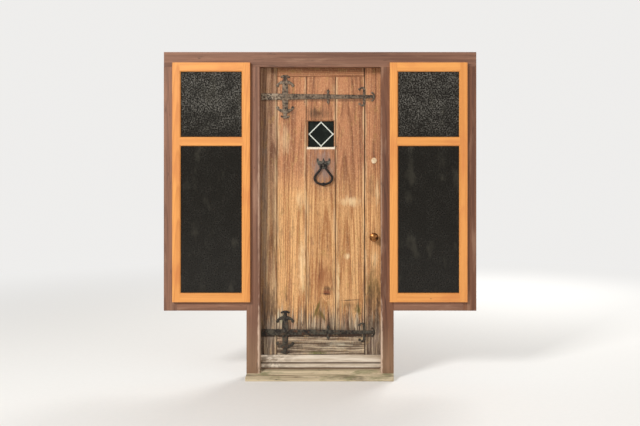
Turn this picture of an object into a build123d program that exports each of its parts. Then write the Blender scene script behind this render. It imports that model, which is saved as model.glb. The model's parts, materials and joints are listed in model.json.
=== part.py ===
from build123d import *
from math import asin, cos, degrees, radians, sin
import os

# Panelled front door in its timber frame, with a fixed sash on each side of it.
# Millimetres. X runs to the right as seen from outside, Y runs inwards and Z runs up.
# The origin is under the middle of the sill, in the plane of the frame's front face.

# Door leaf
leaf_width = 838
leaf_height = 1981
leaf_thickness = 50
leaf_recess = 72
leaf_side_gap = 3
leaf_top_gap = 3
leaf_floor_gap = 6
stile_width = 119
top_rail_height = 69
bottom_rail_height = 133
board_thickness = 22
joint_chamfer = 4
tongue_thickness = 7
tongue_length = 6
tongue_end_gap = 0.5
upper_ledge_height = 135
middle_ledge_height = 140
middle_ledge_middle = 948
tenon_length = 60
tenon_shoulder = 12

# Timber frame
stop_cover = 9
seal_thickness = 2
seal_width = 6
seal_inset = 1.5
head_height = 100
mullion_width = 88
jamb_width = 89
side_opening_width = 470
side_rail_bottom = 464
side_rail_height = 88
sash_rebate_width = 12
sash_rebate_depth = 22
post_tenon_length = 45
post_tenon_thickness = 20
fixing_hole_radius = 5
fixing_hole_count = 3
fixing_hole_setback = 42
first_fixing_height = 600
last_fixing_drop = 64

# Sill and threshold
sill_nose_reach = 55
sill_nose_height = 25
sill_height = 55
sill_slope_back = 58
threshold_height = 81
threshold_board_setback = 64
bar_thickness = 4
bar_lip_height = 15
bar_lip_thickness = 7
bar_groove_depth = 2.5
bar_groove_height = 8
bar_groove_level = 38
bar_drip_gap = 7
bar_lip_bevel = 2
bar_back_gap = 4

# Fixed sashes beside the door
sash_lip_cover = 15
sash_lip_depth = 24
sash_tongue_depth = 20
sash_clearance = 2.5
sash_stile_width = 56
sash_rail_height = 62
transom_bar_height = 61
upper_light_height = 440
glass_rebate_width = 12
glass_front_depth = 14
glass_thickness = 4
glass_edge_gap = 1.5
sash_chamfer = 6
bead_depth = 16

# Vision pane in the middle board
vision_size = 178
vision_ledge_gap = 63.5
vision_board_edge = 11
vision_splay = 8
vision_glass_cover = 8
vision_glass_gap = 1
vision_member_width = 36
lead_width = 10
lead_thickness = 1.6

# Butt hinges on the rebate side
hinge_length = 100
lower_hinge_level = 230
upper_hinge_drop = 221
flap_thickness = 2.5
flap_housing = 2
flap_width = 35
knuckle_radius = 5.2
knuckle_count = 5
knuckle_gap = 0.3
pin_radius = 3
pin_clearance = 0.05
pin_head_radius = 4.4
pin_head_height = 3
hinge_standoff = 5.5

# Wrought iron hinge fronts
strap_foot_gap = 13
upper_strap_drop = 206
strap_thickness = 5
strap_root_height = 44
strap_tip_height = 20
strap_edge_gap = 3
strap_tip_gap = 48
cross_from_root = 163
cross_width = 42
cross_neck_width = 34
cross_end_width = 18
cross_reach = 142
anchor_half_width = 62
anchor_level = 112
anchor_rise = 36
anchor_thickness = 24
anchor_curl_radius = 10
foot_half_width = 31
foot_level = 149
foot_rise = 14
foot_thickness = 18
foot_curl_radius = 6
boss_radius = 19
boss_height = 7
spike_from_tip = 321
leaf_spike_reach = 58
leaf_spike_width = 22
leaf_bud_radius = 9.5
hook_from_tip = 74
hook_bar_width = 16
hook_reach = 66
hook_span = 32
hook_thickness = 10
hook_curl_radius = 8
tip_crescent_half_height = 33
tip_crescent_depth = 20
tip_crescent_thickness = 14
tip_curl_radius = 6.5
nail_head_radius = 7.5
nail_head_height = 4
nail_shank_width = 5
nail_shank_length = 18
root_nail_reach = 22
near_nail_reach = 79
far_nail_reach = 184
spike_nail_reach = 100
hook_nail_reach = 57
cross_nail_reach = 82

# Ring knocker
knocker_place = 18
knocker_drop = 211
ring_bar_radius = 7
ring_standoff = 13
ring_pivot_half_length = 9
ring_shoulder_radius = 12
ring_shoulder_turn = 115
ring_neck_radius = 14
ring_flare_angle = 38
ring_half_width = 60
ring_corner_radius = 32
ring_bottom_radius = 80
ring_barrel_radius = 10
ring_barrel_length = 26
knocker_plate_thickness = 5
knocker_eye_width = 12
knocker_eye_wall = 3.5
knocker_disc_radius = 28
knocker_wing_reach = 47
knocker_wing_drop = 17
knocker_wing_rise = 38
knocker_wing_thickness = 40
knocker_wing_curl = 7
knocker_spike_half_width = 20
knocker_spike_height = 48
stud_radius = 12
stud_rim = 1.5
stud_flat_radius = 7
stud_gap = 0.3

# Knob latch
knob_backset = 55
knob_level = 816
rose_radius = 26
rose_thickness = 6
knob_neck_radius = 9
knob_neck_length = 25
knob_flare_length = 8
knob_crown_height = 6
knob_rim_roll = 9
knob_radius = 30
knob_reach = 60
turning_clearance = 0.05
spindle_width = 8
latch_case_radius = 11
latch_case_length = 75
latch_case_clearance = 0.2
faceplate_height = 57
faceplate_width = 25
faceplate_thickness = 3
latch_bolt_thickness = 12
latch_bolt_height = 14
latch_bolt_length = 40
bolt_clearance = 0.3
bolt_rest_depth = 0.5
latch_throw = 12
strike_thickness = 2
strike_width = 32
strike_height = 76
pocket_side_gap = 2
pocket_end_gap = 3

# Night latch
cylinder_ledge_gap = 319
cylinder_flange_radius = 20
cylinder_flange_thickness = 5
cylinder_radius = 15
plug_radius = 8
keyway_width = 2
keyway_height = 9
keyway_depth = 12
night_case_length = 89
night_case_height = 68
night_case_depth = 28
night_case_edge = 4
night_bolt_height = 16
night_bolt_thickness = 14
night_bolt_length = 46
night_throw = 15
night_knob_radius = 15
night_knob_depth = 20
night_grip_length = 26
night_grip_width = 9
night_shaft_radius = 6
keep_length = 36
keep_gap = 1
seat_gap = 0.3

# Places that follow from the sizes above
frame_depth = leaf_recess + leaf_thickness
stop_back = leaf_recess - seal_thickness
leaf_half = leaf_width / 2
rebate_half = leaf_half + leaf_side_gap
opening_half = leaf_half - stop_cover
threshold_top = sill_height + threshold_height
leaf_bottom = threshold_top + leaf_floor_gap
leaf_top = leaf_bottom + leaf_height
head_bottom = leaf_top - stop_cover
rebate_top = leaf_top + leaf_top_gap
head_top = head_bottom + head_height
mullion_outside = opening_half + mullion_width
jamb_inside = mullion_outside + side_opening_width
jamb_outside = jamb_inside + jamb_width
side_rail_top = side_rail_bottom + side_rail_height
board_back = leaf_recess + board_thickness
leaf_middle_depth = leaf_recess + leaf_thickness / 2
panel_half = leaf_half - stile_width
middle_board_half = vision_size / 2 + vision_board_edge
panel_bottom = leaf_bottom + bottom_rail_height
panel_top = leaf_top - top_rail_height
strap_levels = (foot_level + strap_foot_gap, leaf_height - upper_strap_drop)
far = 3 * jamb_outside


def block(x0, x1, y0, y1, z0, z1):
    """A straight piece between two corners."""
    return Pos(x0, y0, z0) * Box(x1 - x0, y1 - y0, z1 - z0, align=(Align.MIN,) * 3)


def along_x(points, x0, x1):
    """A profile of (y, z) points run from x0 to x1."""
    plane = Plane(origin=(x0, 0, 0), x_dir=(0, 1, 0), z_dir=(1, 0, 0))
    return extrude(plane * make_face(Polyline(*points, close=True)), x1 - x0)


def along_z(points, z0, z1):
    """A profile of (x, y) points run from z0 to z1."""
    return extrude(Plane.XY.offset(z0) * make_face(Polyline(*points, close=True)), z1 - z0)


def front_plane(y):
    """The upright plane at depth y that faces outside, with X to the right and Z up."""
    return Plane(origin=(0, y, 0), x_dir=(1, 0, 0), z_dir=(0, -1, 0))


def raised(face, y, thickness):
    """A flat outline, drawn as X and Z, that stands out from depth y towards the outside."""
    return extrude(front_plane(y) * face, thickness)


def rod_along_y(x, z, radius, y0, y1):
    return raised(Pos(x, z) * Circle(radius), y1, y1 - y0)


def rod_along_x(x0, x1, y, z, radius):
    plane = Plane(origin=(x0, y, z), x_dir=(0, 1, 0), z_dir=(1, 0, 0))
    return extrude(plane * Circle(radius), x1 - x0)


def turned(outline, x, z):
    """A lathe piece on an axis along Y, from an outline of (radius, y)."""
    return Pos(x, 0, z) * revolve(make_face(outline), Axis.Y)


def mirrored(shape):
    return mirror(shape, about=Plane.YZ)


nodes = {}


def sill_profile():
    return [(-sill_nose_reach, 0), (frame_depth, 0), (frame_depth, sill_height),
            (sill_slope_back, sill_height), (-sill_nose_reach, sill_nose_height)]


# Sill: one weathered board with a sloping top that runs under both mullions
sill = along_x(sill_profile(), -mullion_outside, mullion_outside)
nodes["sill"] = sill

# Rebates: the leaf closes into one from inside, a sash drops into one from outside
door_rebate = block(-rebate_half, rebate_half, stop_back, frame_depth, -far, rebate_top)
sash_rebate = block(mullion_outside - sash_rebate_width, jamb_inside + sash_rebate_width,
                    0, sash_rebate_depth,
                    side_rail_top - sash_rebate_width, head_bottom + sash_rebate_width)


def frame_tenon(x0, x1, z0, z1):
    """A stub tenon between the sash rebate and the door rebate, and the mortice that it fills."""
    middle = (sash_rebate_depth + stop_back) / 2
    return block(x0, x1, middle - post_tenon_thickness / 2, middle + post_tenon_thickness / 2, z0, z1)


def post_tenon(x0, x1):
    """The stub on top of a post."""
    shoulder = tenon_shoulder + sash_rebate_width
    return frame_tenon(x0 + shoulder, x1 - shoulder, head_bottom, head_bottom + post_tenon_length)


def side_rail_tenons():
    """The stubs at both ends of the rail under a side window."""
    low, high = side_rail_bottom + tenon_shoulder, side_rail_top - tenon_shoulder - sash_rebate_width
    return [frame_tenon(x0, x1, low, high)
            for x0, x1 in ((mullion_outside - post_tenon_length, mullion_outside),
                           (jamb_inside, jamb_inside + post_tenon_length))]


mullion_tenon = post_tenon(opening_half, mullion_outside)
jamb_tenon = post_tenon(jamb_inside, jamb_outside)
rail_tenons = side_rail_tenons()

fixing_depth = frame_depth - fixing_hole_setback
fixing_hole_pitch = (head_bottom - last_fixing_drop - first_fixing_height) / (fixing_hole_count - 1)
fixing_levels = [first_fixing_height + i * fixing_hole_pitch for i in range(fixing_hole_count)]


def right_mullion():
    """The post beside the door: its foot is cut to the slope of the sill."""
    post = block(opening_half, mullion_outside, 0, frame_depth, 0, head_bottom)
    post = post - door_rebate - sash_rebate - sill + mullion_tenon
    return post - rail_tenons[0]


def right_jamb():
    post = block(jamb_inside, jamb_outside, 0, frame_depth, side_rail_bottom, head_bottom)
    post = post - sash_rebate + jamb_tenon - rail_tenons[1]
    for level in fixing_levels:
        post -= rod_along_x(jamb_inside, jamb_outside, fixing_depth, level, fixing_hole_radius)
    return post


side_rail = block(mullion_outside, jamb_inside, 0, frame_depth, side_rail_bottom, side_rail_top)
side_rail = side_rail - sash_rebate + rail_tenons[0] + rail_tenons[1]

head = block(-jamb_outside, jamb_outside, 0, frame_depth, head_bottom, head_top) - door_rebate
for cut in (sash_rebate, mullion_tenon, jamb_tenon):
    head = head - cut - mirrored(cut)
nodes["head"] = head

# Latch places on the lock side, and the pockets that the bolts are thrown into
knob_x = leaf_half - knob_backset
knob_z = leaf_bottom + knob_level
night_z = leaf_bottom + middle_ledge_middle + middle_ledge_height / 2 + cylinder_ledge_gap
strike_plate = block(rebate_half, rebate_half + strike_thickness,
                     leaf_middle_depth - strike_width / 2, leaf_middle_depth + strike_width / 2,
                     knob_z - strike_height / 2, knob_z + strike_height / 2)
strike_pocket = block(rebate_half, rebate_half + strike_thickness + latch_throw,
                      leaf_middle_depth - latch_bolt_thickness / 2 - pocket_side_gap,
                      leaf_middle_depth + latch_bolt_thickness / 2 + pocket_side_gap,
                      knob_z - latch_bolt_height / 2 - pocket_end_gap,
                      knob_z + latch_bolt_height / 2 + pocket_end_gap)

mullion = right_mullion()
nodes["jamb_right"] = right_jamb()
nodes["jamb_left"] = mirrored(nodes["jamb_right"])
nodes["side_rail_right"] = side_rail
nodes["side_rail_left"] = mirrored(side_rail)
nodes["strike_plate"] = strike_plate - strike_pocket

# Threshold: a timber board with an aluminium weather bar over its front and top
bar_front = threshold_board_setback - bar_thickness
bar_foot = sill_height + bar_drip_gap
groove_bottom = sill_height + bar_groove_level
lip_top = threshold_top + bar_lip_height
lip_back = bar_front + bar_lip_thickness
bar_back = frame_depth - bar_back_gap
threshold_bar = along_x([(bar_front, bar_foot), (bar_front, groove_bottom),
                         (bar_front + bar_groove_depth, groove_bottom),
                         (bar_front + bar_groove_depth, groove_bottom + bar_groove_height),
                         (bar_front, groove_bottom + bar_groove_height),
                         (bar_front, lip_top), (lip_back - bar_lip_bevel, lip_top),
                         (lip_back, lip_top - bar_lip_bevel), (lip_back, threshold_top),
                         (bar_back, threshold_top), (bar_back, threshold_top - bar_thickness),
                         (threshold_board_setback, threshold_top - bar_thickness),
                         (threshold_board_setback, bar_foot)],
                        -rebate_half, rebate_half)
threshold_board = block(-rebate_half, rebate_half, threshold_board_setback, frame_depth,
                        sill_height, threshold_top - bar_thickness)
for post in (mullion, mirrored(mullion)):
    threshold_bar -= post
    threshold_board -= post
nodes["threshold_board"] = threshold_board
nodes["threshold_bar"] = threshold_bar

# Weather seal: three strips on the stop that the leaf closes against
seal_edge = opening_half + seal_inset
seal_top = head_bottom + seal_inset
side_seal = block(seal_edge, seal_edge + seal_width, stop_back, leaf_recess, lip_top, seal_top)
nodes["door_seal"] = Compound([
    side_seal, mirrored(side_seal),
    block(-seal_edge - seal_width, seal_edge + seal_width, stop_back, leaf_recess,
          seal_top, seal_top + seal_width)])


# Fixed sashes: each lip lies on the frame's front face and each tongue fills the rebate
sash_left = mullion_outside - sash_rebate_width - sash_lip_cover
sash_right = jamb_inside + sash_rebate_width + sash_lip_cover
sash_bottom = side_rail_top - sash_rebate_width - sash_lip_cover
sash_top = head_bottom + sash_rebate_width + sash_lip_cover
sash_tongue = sash_lip_cover + sash_clearance
glass_front = glass_front_depth - sash_lip_depth
transom_bar_top = sash_top - sash_rail_height - upper_light_height
transom_bar_bottom = transom_bar_top - transom_bar_height


def sash_edge_profile(width, start, direction):
    """Section of a stile or rail as (place, y), from its outer edge inwards."""
    inner = width - glass_rebate_width
    section = [(0, -sash_lip_depth), (width - sash_chamfer, -sash_lip_depth),
               (width, sash_chamfer - sash_lip_depth), (width, glass_front), (inner, glass_front),
               (inner, sash_tongue_depth), (sash_tongue, sash_tongue_depth), (sash_tongue, 0), (0, 0)]
    return [(start + direction * place, y) for place, y in section]


def transom_bar_profile():
    low, high = transom_bar_bottom, transom_bar_top
    front = -sash_lip_depth
    return [(low, front + sash_chamfer), (low + sash_chamfer, front), (high - sash_chamfer, front),
            (high, front + sash_chamfer), (high, glass_front), (high - glass_rebate_width, glass_front),
            (high - glass_rebate_width, sash_tongue_depth), (low + glass_rebate_width, sash_tongue_depth),
            (low + glass_rebate_width, glass_front), (low, glass_front)]


def sash_cross_piece(profile, stiles):
    """A rail run between the stiles, with its ends scribed over their moulded edges."""
    piece = along_x([(y, z) for z, y in profile], sash_left + sash_tongue, sash_right - sash_tongue)
    for stile in stiles:
        piece -= stile
    return piece


def right_sash():
    stiles = [along_z(sash_edge_profile(sash_stile_width, sash_left, 1), sash_bottom, sash_top),
              along_z(sash_edge_profile(sash_stile_width, sash_right, -1), sash_bottom, sash_top)]
    # The outer lip runs to the sash's end, the tongue behind it stops inside the rebate
    for level, height in ((sash_bottom, sash_tongue), (sash_top - sash_tongue, sash_tongue)):
        waste = block(sash_left, sash_right, 0, sash_tongue_depth, level, level + height)
        stiles = [stile - waste for stile in stiles]
    pieces = {"inner_stile": stiles[0], "outer_stile": stiles[1]}
    rails = (("bottom_rail", sash_edge_profile(sash_rail_height, sash_bottom, 1)),
             ("top_rail", sash_edge_profile(sash_rail_height, sash_top, -1)),
             ("transom_bar", transom_bar_profile()))
    for name, profile in rails:
        pieces[name] = sash_cross_piece(profile, stiles)
    rebate_left = sash_left + sash_stile_width - glass_rebate_width
    rebate_right = sash_right - sash_stile_width + glass_rebate_width
    lights = {"lower_pane": (sash_bottom + sash_rail_height - glass_rebate_width,
                             transom_bar_bottom + glass_rebate_width),
              "upper_pane": (transom_bar_top - glass_rebate_width,
                             sash_top - sash_rail_height + glass_rebate_width)}
    beads = []
    glass_back = glass_front + glass_thickness
    for name, (low, high) in lights.items():
        pieces[name] = block(rebate_left + glass_edge_gap, rebate_right - glass_edge_gap,
                             glass_front, glass_back, low + glass_edge_gap, high - glass_edge_gap)
        inner_low, inner_high = low + glass_rebate_width, high - glass_rebate_width
        inner_left, inner_right = rebate_left + glass_rebate_width, rebate_right - glass_rebate_width
        for x0, x1, z0, z1 in ((rebate_left, inner_left, low, high), (inner_right, rebate_right, low, high),
                               (inner_left, inner_right, low, inner_low),
                               (inner_left, inner_right, inner_high, high)):
            beads.append(block(x0, x1, glass_back, glass_back + bead_depth, z0, z1))
    return pieces, beads


sash_pieces, sash_beads = right_sash()
for name, piece in sash_pieces.items():
    nodes["right_sash_" + name] = piece
    nodes["left_sash_" + name] = mirrored(piece)
nodes["glazing_beads"] = Compound(sash_beads + [mirrored(bead) for bead in sash_beads])


# Door leaf: stiles, rails and ledges are tenoned together and the boards lie in front of the ledges
def tenoned(x0, x1, y0, y1, z0, z1):
    """A rail between the stiles, with a stub tenon at each end."""
    third = (y1 - y0) / 3
    ends = [block(a, b, y0 + third, y1 - third, z0 + tenon_shoulder, z1 - tenon_shoulder)
            for a, b in ((x0 - tenon_length, x0), (x1, x1 + tenon_length))]
    return block(x0, x1, y0, y1, z0, z1) + ends[0] + ends[1], ends


def upright_chamfer(x, side):
    """The waste of a V joint along an upright edge at x, on its left or right side."""
    return along_z([(x, leaf_recess), (x + side * joint_chamfer, leaf_recess),
                    (x, leaf_recess + joint_chamfer)], panel_bottom - far, panel_top + far)


def level_chamfer(z, side):
    return along_x([(leaf_recess, z), (leaf_recess, z + side * joint_chamfer),
                    (leaf_recess + joint_chamfer, z)], -panel_half, panel_half)


def tongue_box(x, side, extra):
    """The tongue that stands out from an edge at x, or with extra the groove for it."""
    low = leaf_recess + (board_thickness - tongue_thickness) / 2
    reach = side * (tongue_length + extra)
    return block(min(x, x + reach), max(x, x + reach), low, low + tongue_thickness,
                 panel_bottom, panel_top)


upper_strap_z = leaf_bottom + strap_levels[1]
ledges = {"upper_ledge": (upper_strap_z - upper_ledge_height / 2, upper_strap_z + upper_ledge_height / 2),
          "middle_ledge": (leaf_bottom + middle_ledge_middle - middle_ledge_height / 2,
                           leaf_bottom + middle_ledge_middle + middle_ledge_height / 2)}
mortices = []
for name, y0, low, high in (("leaf_top_rail", leaf_recess, panel_top, leaf_top),
                            ("leaf_bottom_rail", leaf_recess, leaf_bottom, panel_bottom),
                            ("upper_ledge", board_back, *ledges["upper_ledge"]),
                            ("middle_ledge", board_back, *ledges["middle_ledge"])):
    nodes[name], ends = tenoned(-panel_half, panel_half, y0, frame_depth, low, high)
    mortices += ends
nodes["leaf_top_rail"] -= level_chamfer(panel_top, 1)
nodes["leaf_bottom_rail"] -= level_chamfer(panel_bottom, -1)

board_edges = [-panel_half, -middle_board_half, middle_board_half, panel_half]
hinge_stile = block(-leaf_half, -panel_half, leaf_recess, frame_depth, leaf_bottom, leaf_top)
lock_stile = block(panel_half, leaf_half, leaf_recess, frame_depth, leaf_bottom, leaf_top)
hinge_stile -= upright_chamfer(-panel_half, -1)
lock_stile -= upright_chamfer(panel_half, 1)
hinge_stile -= tongue_box(-panel_half, -1, tongue_end_gap)
lock_stile -= tongue_box(panel_half, 1, tongue_end_gap)
for mortice in mortices:
    if mortice.center().X < 0:
        hinge_stile -= mortice
    else:
        lock_stile -= mortice

board_names = ["board_left", "board_middle", "board_right"]
for i, name in enumerate(board_names):
    left, right = board_edges[i], board_edges[i + 1]
    board = block(left, right, leaf_recess, board_back, panel_bottom, panel_top)
    board = board - upright_chamfer(left, 1) - upright_chamfer(right, -1)
    board = board - level_chamfer(panel_bottom, 1) - level_chamfer(panel_top, -1)
    board += tongue_box(right, 1, 0)
    if i == 0:
        board += tongue_box(left, -1, 0)
    else:
        board -= tongue_box(left, 1, tongue_end_gap)
    nodes[name] = board

# Vision pane: a splayed square hole in the middle board, glazed from inside
vision_x = (board_edges[1] + board_edges[2]) / 2
vision_half = vision_size / 2
vision_outer = vision_half + vision_member_width
vision_z = ledges["upper_ledge"][0] - vision_ledge_gap - vision_outer


def square_ring(outer, inner, y0, y1):
    ring = block(-outer, outer, y0, y1, -outer, outer) - block(-inner, inner, y0, y1, -inner, inner)
    return Pos(vision_x, 0, vision_z) * ring


hole = extrude(front_plane(board_back) * Rectangle(vision_size, vision_size), board_thickness)
splay = loft([front_plane(leaf_recess + vision_splay) * Rectangle(vision_size, vision_size),
              front_plane(leaf_recess) * Rectangle(vision_size + 2 * vision_splay,
                                                   vision_size + 2 * vision_splay)])
nodes["board_middle"] = nodes["board_middle"] - Pos(vision_x, 0, vision_z) * (hole + splay)

vision_glass_half = vision_half + vision_glass_cover
vision_glass_back = board_back + glass_thickness
surround = square_ring(vision_outer, vision_half, board_back, frame_depth)
surround -= square_ring(vision_glass_half + vision_glass_gap, vision_half - 1, board_back, vision_glass_back)
uprights = [Pos(vision_x, 0, vision_z) * block(x0, x1, board_back, frame_depth, -vision_outer, vision_outer)
            for x0, x1 in ((-vision_outer, -vision_half), (vision_half, vision_outer))]
members = [surround & upright for upright in uprights]
members += list((surround - uprights[0] - uprights[1]).solids())
nodes["vision_frame"] = Compound([solid for member in members for solid in member.solids()])
nodes["vision_pane"] = Pos(vision_x, 0, vision_z) * block(
    -vision_glass_half, vision_glass_half, board_back, vision_glass_back,
    -vision_glass_half, vision_glass_half)
diamond = Rot(0, 0, 45) * Rectangle(vision_half * 2 ** 0.5, vision_half * 2 ** 0.5)
inner_side = vision_half * 2 ** 0.5 - 2 * lead_width
diamond -= Rot(0, 0, 45) * Rectangle(inner_side, inner_side)
nodes["vision_lead"] = Pos(vision_x, 0, vision_z) * Compound([
    raised(diamond, board_back, lead_thickness),
    raised(diamond, vision_glass_back + lead_thickness, lead_thickness)])

# Butt hinges: the knuckles lie behind the leaf's back face, between leaf and frame
hinge_x = -(leaf_half + leaf_side_gap / 2)
hinge_y = frame_depth + hinge_standoff
knuckle_length = (hinge_length - (knuckle_count - 1) * knuckle_gap) / knuckle_count
upper_hinge_level = leaf_height - upper_hinge_drop
hinge_levels = [lower_hinge_level, (lower_hinge_level + upper_hinge_level) / 2, upper_hinge_level]


def hinge_side(level, on_frame):
    """One flap with its own knuckles, and the housing that it fills in the timber."""
    low = leaf_bottom + level - hinge_length / 2
    wall = -rebate_half - flap_housing if on_frame else -leaf_half + flap_housing
    inner = wall + flap_thickness if on_frame else wall - flap_thickness
    x0, x1 = min(wall, inner), max(wall, inner)
    flap = block(x0, x1, frame_depth - flap_width, frame_depth - seat_gap, low, low + hinge_length)
    housing = block(x0, x1, frame_depth - flap_width, frame_depth, low, low + hinge_length)
    for i in range(0 if on_frame else 1, knuckle_count, 2):
        start = low + i * (knuckle_length + knuckle_gap)
        knuckle = Pos(hinge_x, hinge_y, start) * Cylinder(
            knuckle_radius, knuckle_length, align=(Align.CENTER, Align.CENTER, Align.MIN))
        tab = block(x0, x1, frame_depth - 1, hinge_y, start, start + knuckle_length)
        bore = Pos(hinge_x, hinge_y, start) * Cylinder(
            pin_radius + pin_clearance, knuckle_length, align=(Align.CENTER, Align.CENTER, Align.MIN))
        flap = flap + knuckle + tab - bore
    return flap, housing


frame_flaps, leaf_flaps, pins = [], [], []
left_mullion = mirrored(mullion)
for level in hinge_levels:
    flap, housing = hinge_side(level, True)
    frame_flaps.append(flap)
    left_mullion -= housing
    flap, housing = hinge_side(level, False)
    leaf_flaps.append(flap)
    hinge_stile -= housing
    low = leaf_bottom + level - hinge_length / 2
    pin = Pos(hinge_x, hinge_y, low) * Cylinder(pin_radius, hinge_length,
                                                align=(Align.CENTER, Align.CENTER, Align.MIN))
    cap = Pos(hinge_x, hinge_y, low + hinge_length) * Cylinder(
        pin_head_radius, pin_head_height, align=(Align.CENTER, Align.CENTER, Align.MIN))
    pins.append(pin + chamfer(cap.edges().sort_by(Axis.Z)[-1], 1))
nodes["frame_hinge_flaps"] = Compound(frame_flaps)
nodes["leaf_hinge_flaps"] = Compound(leaf_flaps)
nodes["hinge_pins"] = Compound(pins)
nodes["mullion_left"] = left_mullion
nodes["mullion_right"] = mullion - strike_plate - strike_pocket


# Wrought iron hinge fronts, drawn flat as X and Z about the middle of the strap
def facing_up(face):
    """The same flat face with its normal towards +Z, so that every outline is raised the same way."""
    return face if face.normal_at().Z > 0 else -face


def crescent(tip_a, outer, tip_b, inner):
    """A forged crescent that comes to a point at both tips."""
    return facing_up(Face(Wire([ThreePointArc(tip_a, outer, tip_b).edge(),
                                ThreePointArc(tip_b, inner, tip_a).edge()])))


def curled_crescent(half_width, level, rise, thickness, curl_radius, side):
    """A crescent across the Z axis whose tips reach back by the rise and end in round curls."""
    tips = side * (level - rise)
    arms = crescent((-half_width, tips), (0, side * level),
                    (half_width, tips), (0, side * (level - thickness)))
    reach = half_width - curl_radius
    return [arms, Pos(-reach, tips) * Circle(curl_radius), Pos(reach, tips) * Circle(curl_radius)]


def flat_shape(*points):
    return facing_up(Face(Wire.make_polygon(points, close=True)))


def cross_end(side):
    """The foot of the cross-bar: an anchor of two arms that end in curls, and a small crescent."""
    neck = side * (anchor_level - anchor_thickness)
    half_profile = [(cross_width / 2, 0), (cross_neck_width / 2, neck),
                    (cross_end_width / 2, side * cross_reach)]
    bar = flat_shape(*half_profile, *[(-x, z) for x, z in reversed(half_profile)])
    anchor = curled_crescent(anchor_half_width, anchor_level, anchor_rise, anchor_thickness,
                             anchor_curl_radius, side)
    foot = curled_crescent(foot_half_width, foot_level, foot_rise, foot_thickness, foot_curl_radius, side)
    return [bar] + anchor + foot


def hook(side):
    """One end of the small cross: the bar bends back towards the hinge side."""
    root = side * (hook_reach - hook_span / 2)
    bend = side * hook_reach
    half = hook_bar_width / 2
    tip = (-hook_span, side * (hook_reach - hook_bar_width))
    bar = flat_shape((-half, 0), (half, 0), (half, root), (-half, root))
    top = facing_up(Face(Wire([ThreePointArc((half, root), (-half, bend), tip).edge(),
                               ThreePointArc(tip, (-half * 2, bend - side * hook_thickness),
                                             (-half, root)).edge(),
                               Line((-half, root), (half, root)).edge()])))
    return [bar, top, Pos(*tip) * Circle(hook_curl_radius)]


strap_root = strap_edge_gap - opening_half
strap_tip_place = leaf_half - strap_tip_gap
cross_place = strap_root + cross_from_root
leaf_spike_place = strap_tip_place - spike_from_tip
hook_cross_place = strap_tip_place - hook_from_tip


def strap_outline():
    end = strap_tip_place - tip_crescent_thickness / 2
    outline = Sketch() + flat_shape((strap_root, -strap_root_height / 2), (strap_root, strap_root_height / 2),
                                    (end, strap_tip_height / 2), (end, -strap_tip_height / 2))
    for side in (-1, 1):
        for piece in cross_end(side):
            outline += Pos(cross_place, 0) * piece
        for piece in hook(side):
            outline += Pos(hook_cross_place, 0) * piece
    outline += Pos(leaf_spike_place, 0) * flat_shape(
        (-leaf_spike_width / 2, 0), (0, leaf_spike_reach), (leaf_spike_width / 2, 0), (0, -leaf_spike_reach))
    for side in (-1, 1):
        bud = side * (leaf_spike_reach - leaf_spike_width)
        outline += Pos(leaf_spike_place, bud) * Circle(leaf_bud_radius)
    tips = strap_tip_place - tip_crescent_depth
    outline += crescent((tips, -tip_crescent_half_height), (strap_tip_place, 0),
                        (tips, tip_crescent_half_height), (strap_tip_place - tip_crescent_thickness, 0))
    for side in (-1, 1):
        outline += Pos(tips, side * (tip_crescent_half_height - tip_curl_radius)) * Circle(tip_curl_radius)
    return outline


nail_places = [(x, 0) for x in (strap_root + root_nail_reach, cross_place + near_nail_reach,
                                cross_place + far_nail_reach, leaf_spike_place + spike_nail_reach,
                                hook_cross_place - hook_nail_reach, hook_cross_place)]
nail_places += [(cross_place, -cross_nail_reach), (cross_place, cross_nail_reach)]
strap_face = leaf_recess - strap_thickness
strap_flat = strap_outline()


def nail_shank(x, z):
    return raised(Pos(x, z) * Rectangle(nail_shank_width, nail_shank_width),
                  strap_face + nail_shank_length, nail_shank_length)


def cap_middle(radius, height):
    """Depth below its top of a ball-shaped cap, halfway out to its rim."""
    ball = (radius ** 2 + height ** 2) / (2 * height)
    return ball - (ball ** 2 - (radius / 2) ** 2) ** 0.5


def boss_outline():
    """The raised round boss where the cross-bar passes over the strap."""
    root = strap_face + strap_thickness / 2
    top = strap_face - boss_height
    halfway = top + cap_middle(boss_radius, boss_height)
    return [Line((0, root), (boss_radius, root)), Line((boss_radius, root), (boss_radius, strap_face)),
            ThreePointArc((boss_radius, strap_face), (boss_radius / 2, halfway), (0, top)),
            Line((0, top), (0, root))]


nails = []
for name, level in (("strap_lower", strap_levels[0]), ("strap_upper", strap_levels[1])):
    z = leaf_bottom + level
    strap = raised(Pos(0, z) * strap_flat, leaf_recess, strap_thickness)
    strap += turned(boss_outline(), cross_place, z)
    for x, up in nail_places:
        shank = nail_shank(x, z + up)
        strap -= shank
        head_plane = front_plane(strap_face) * Pos(x, z + up)
        nail_head = extrude(head_plane * RegularPolygon(nail_head_radius, 8), nail_head_height, taper=38)
        nails.append(nail_head + shank)
        for timber in board_names + ["leaf_top_rail", "leaf_bottom_rail"]:
            nodes[timber] -= shank
        hinge_stile -= shank
        lock_stile -= shank
    nodes[name] = strap
nodes["strap_nails"] = Compound(nails)

# Knocker: a forged ring that hangs in the eye of its plate, above a striking stud
pivot_y = leaf_recess - ring_standoff
pivot_z = vision_z - knocker_drop


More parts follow.
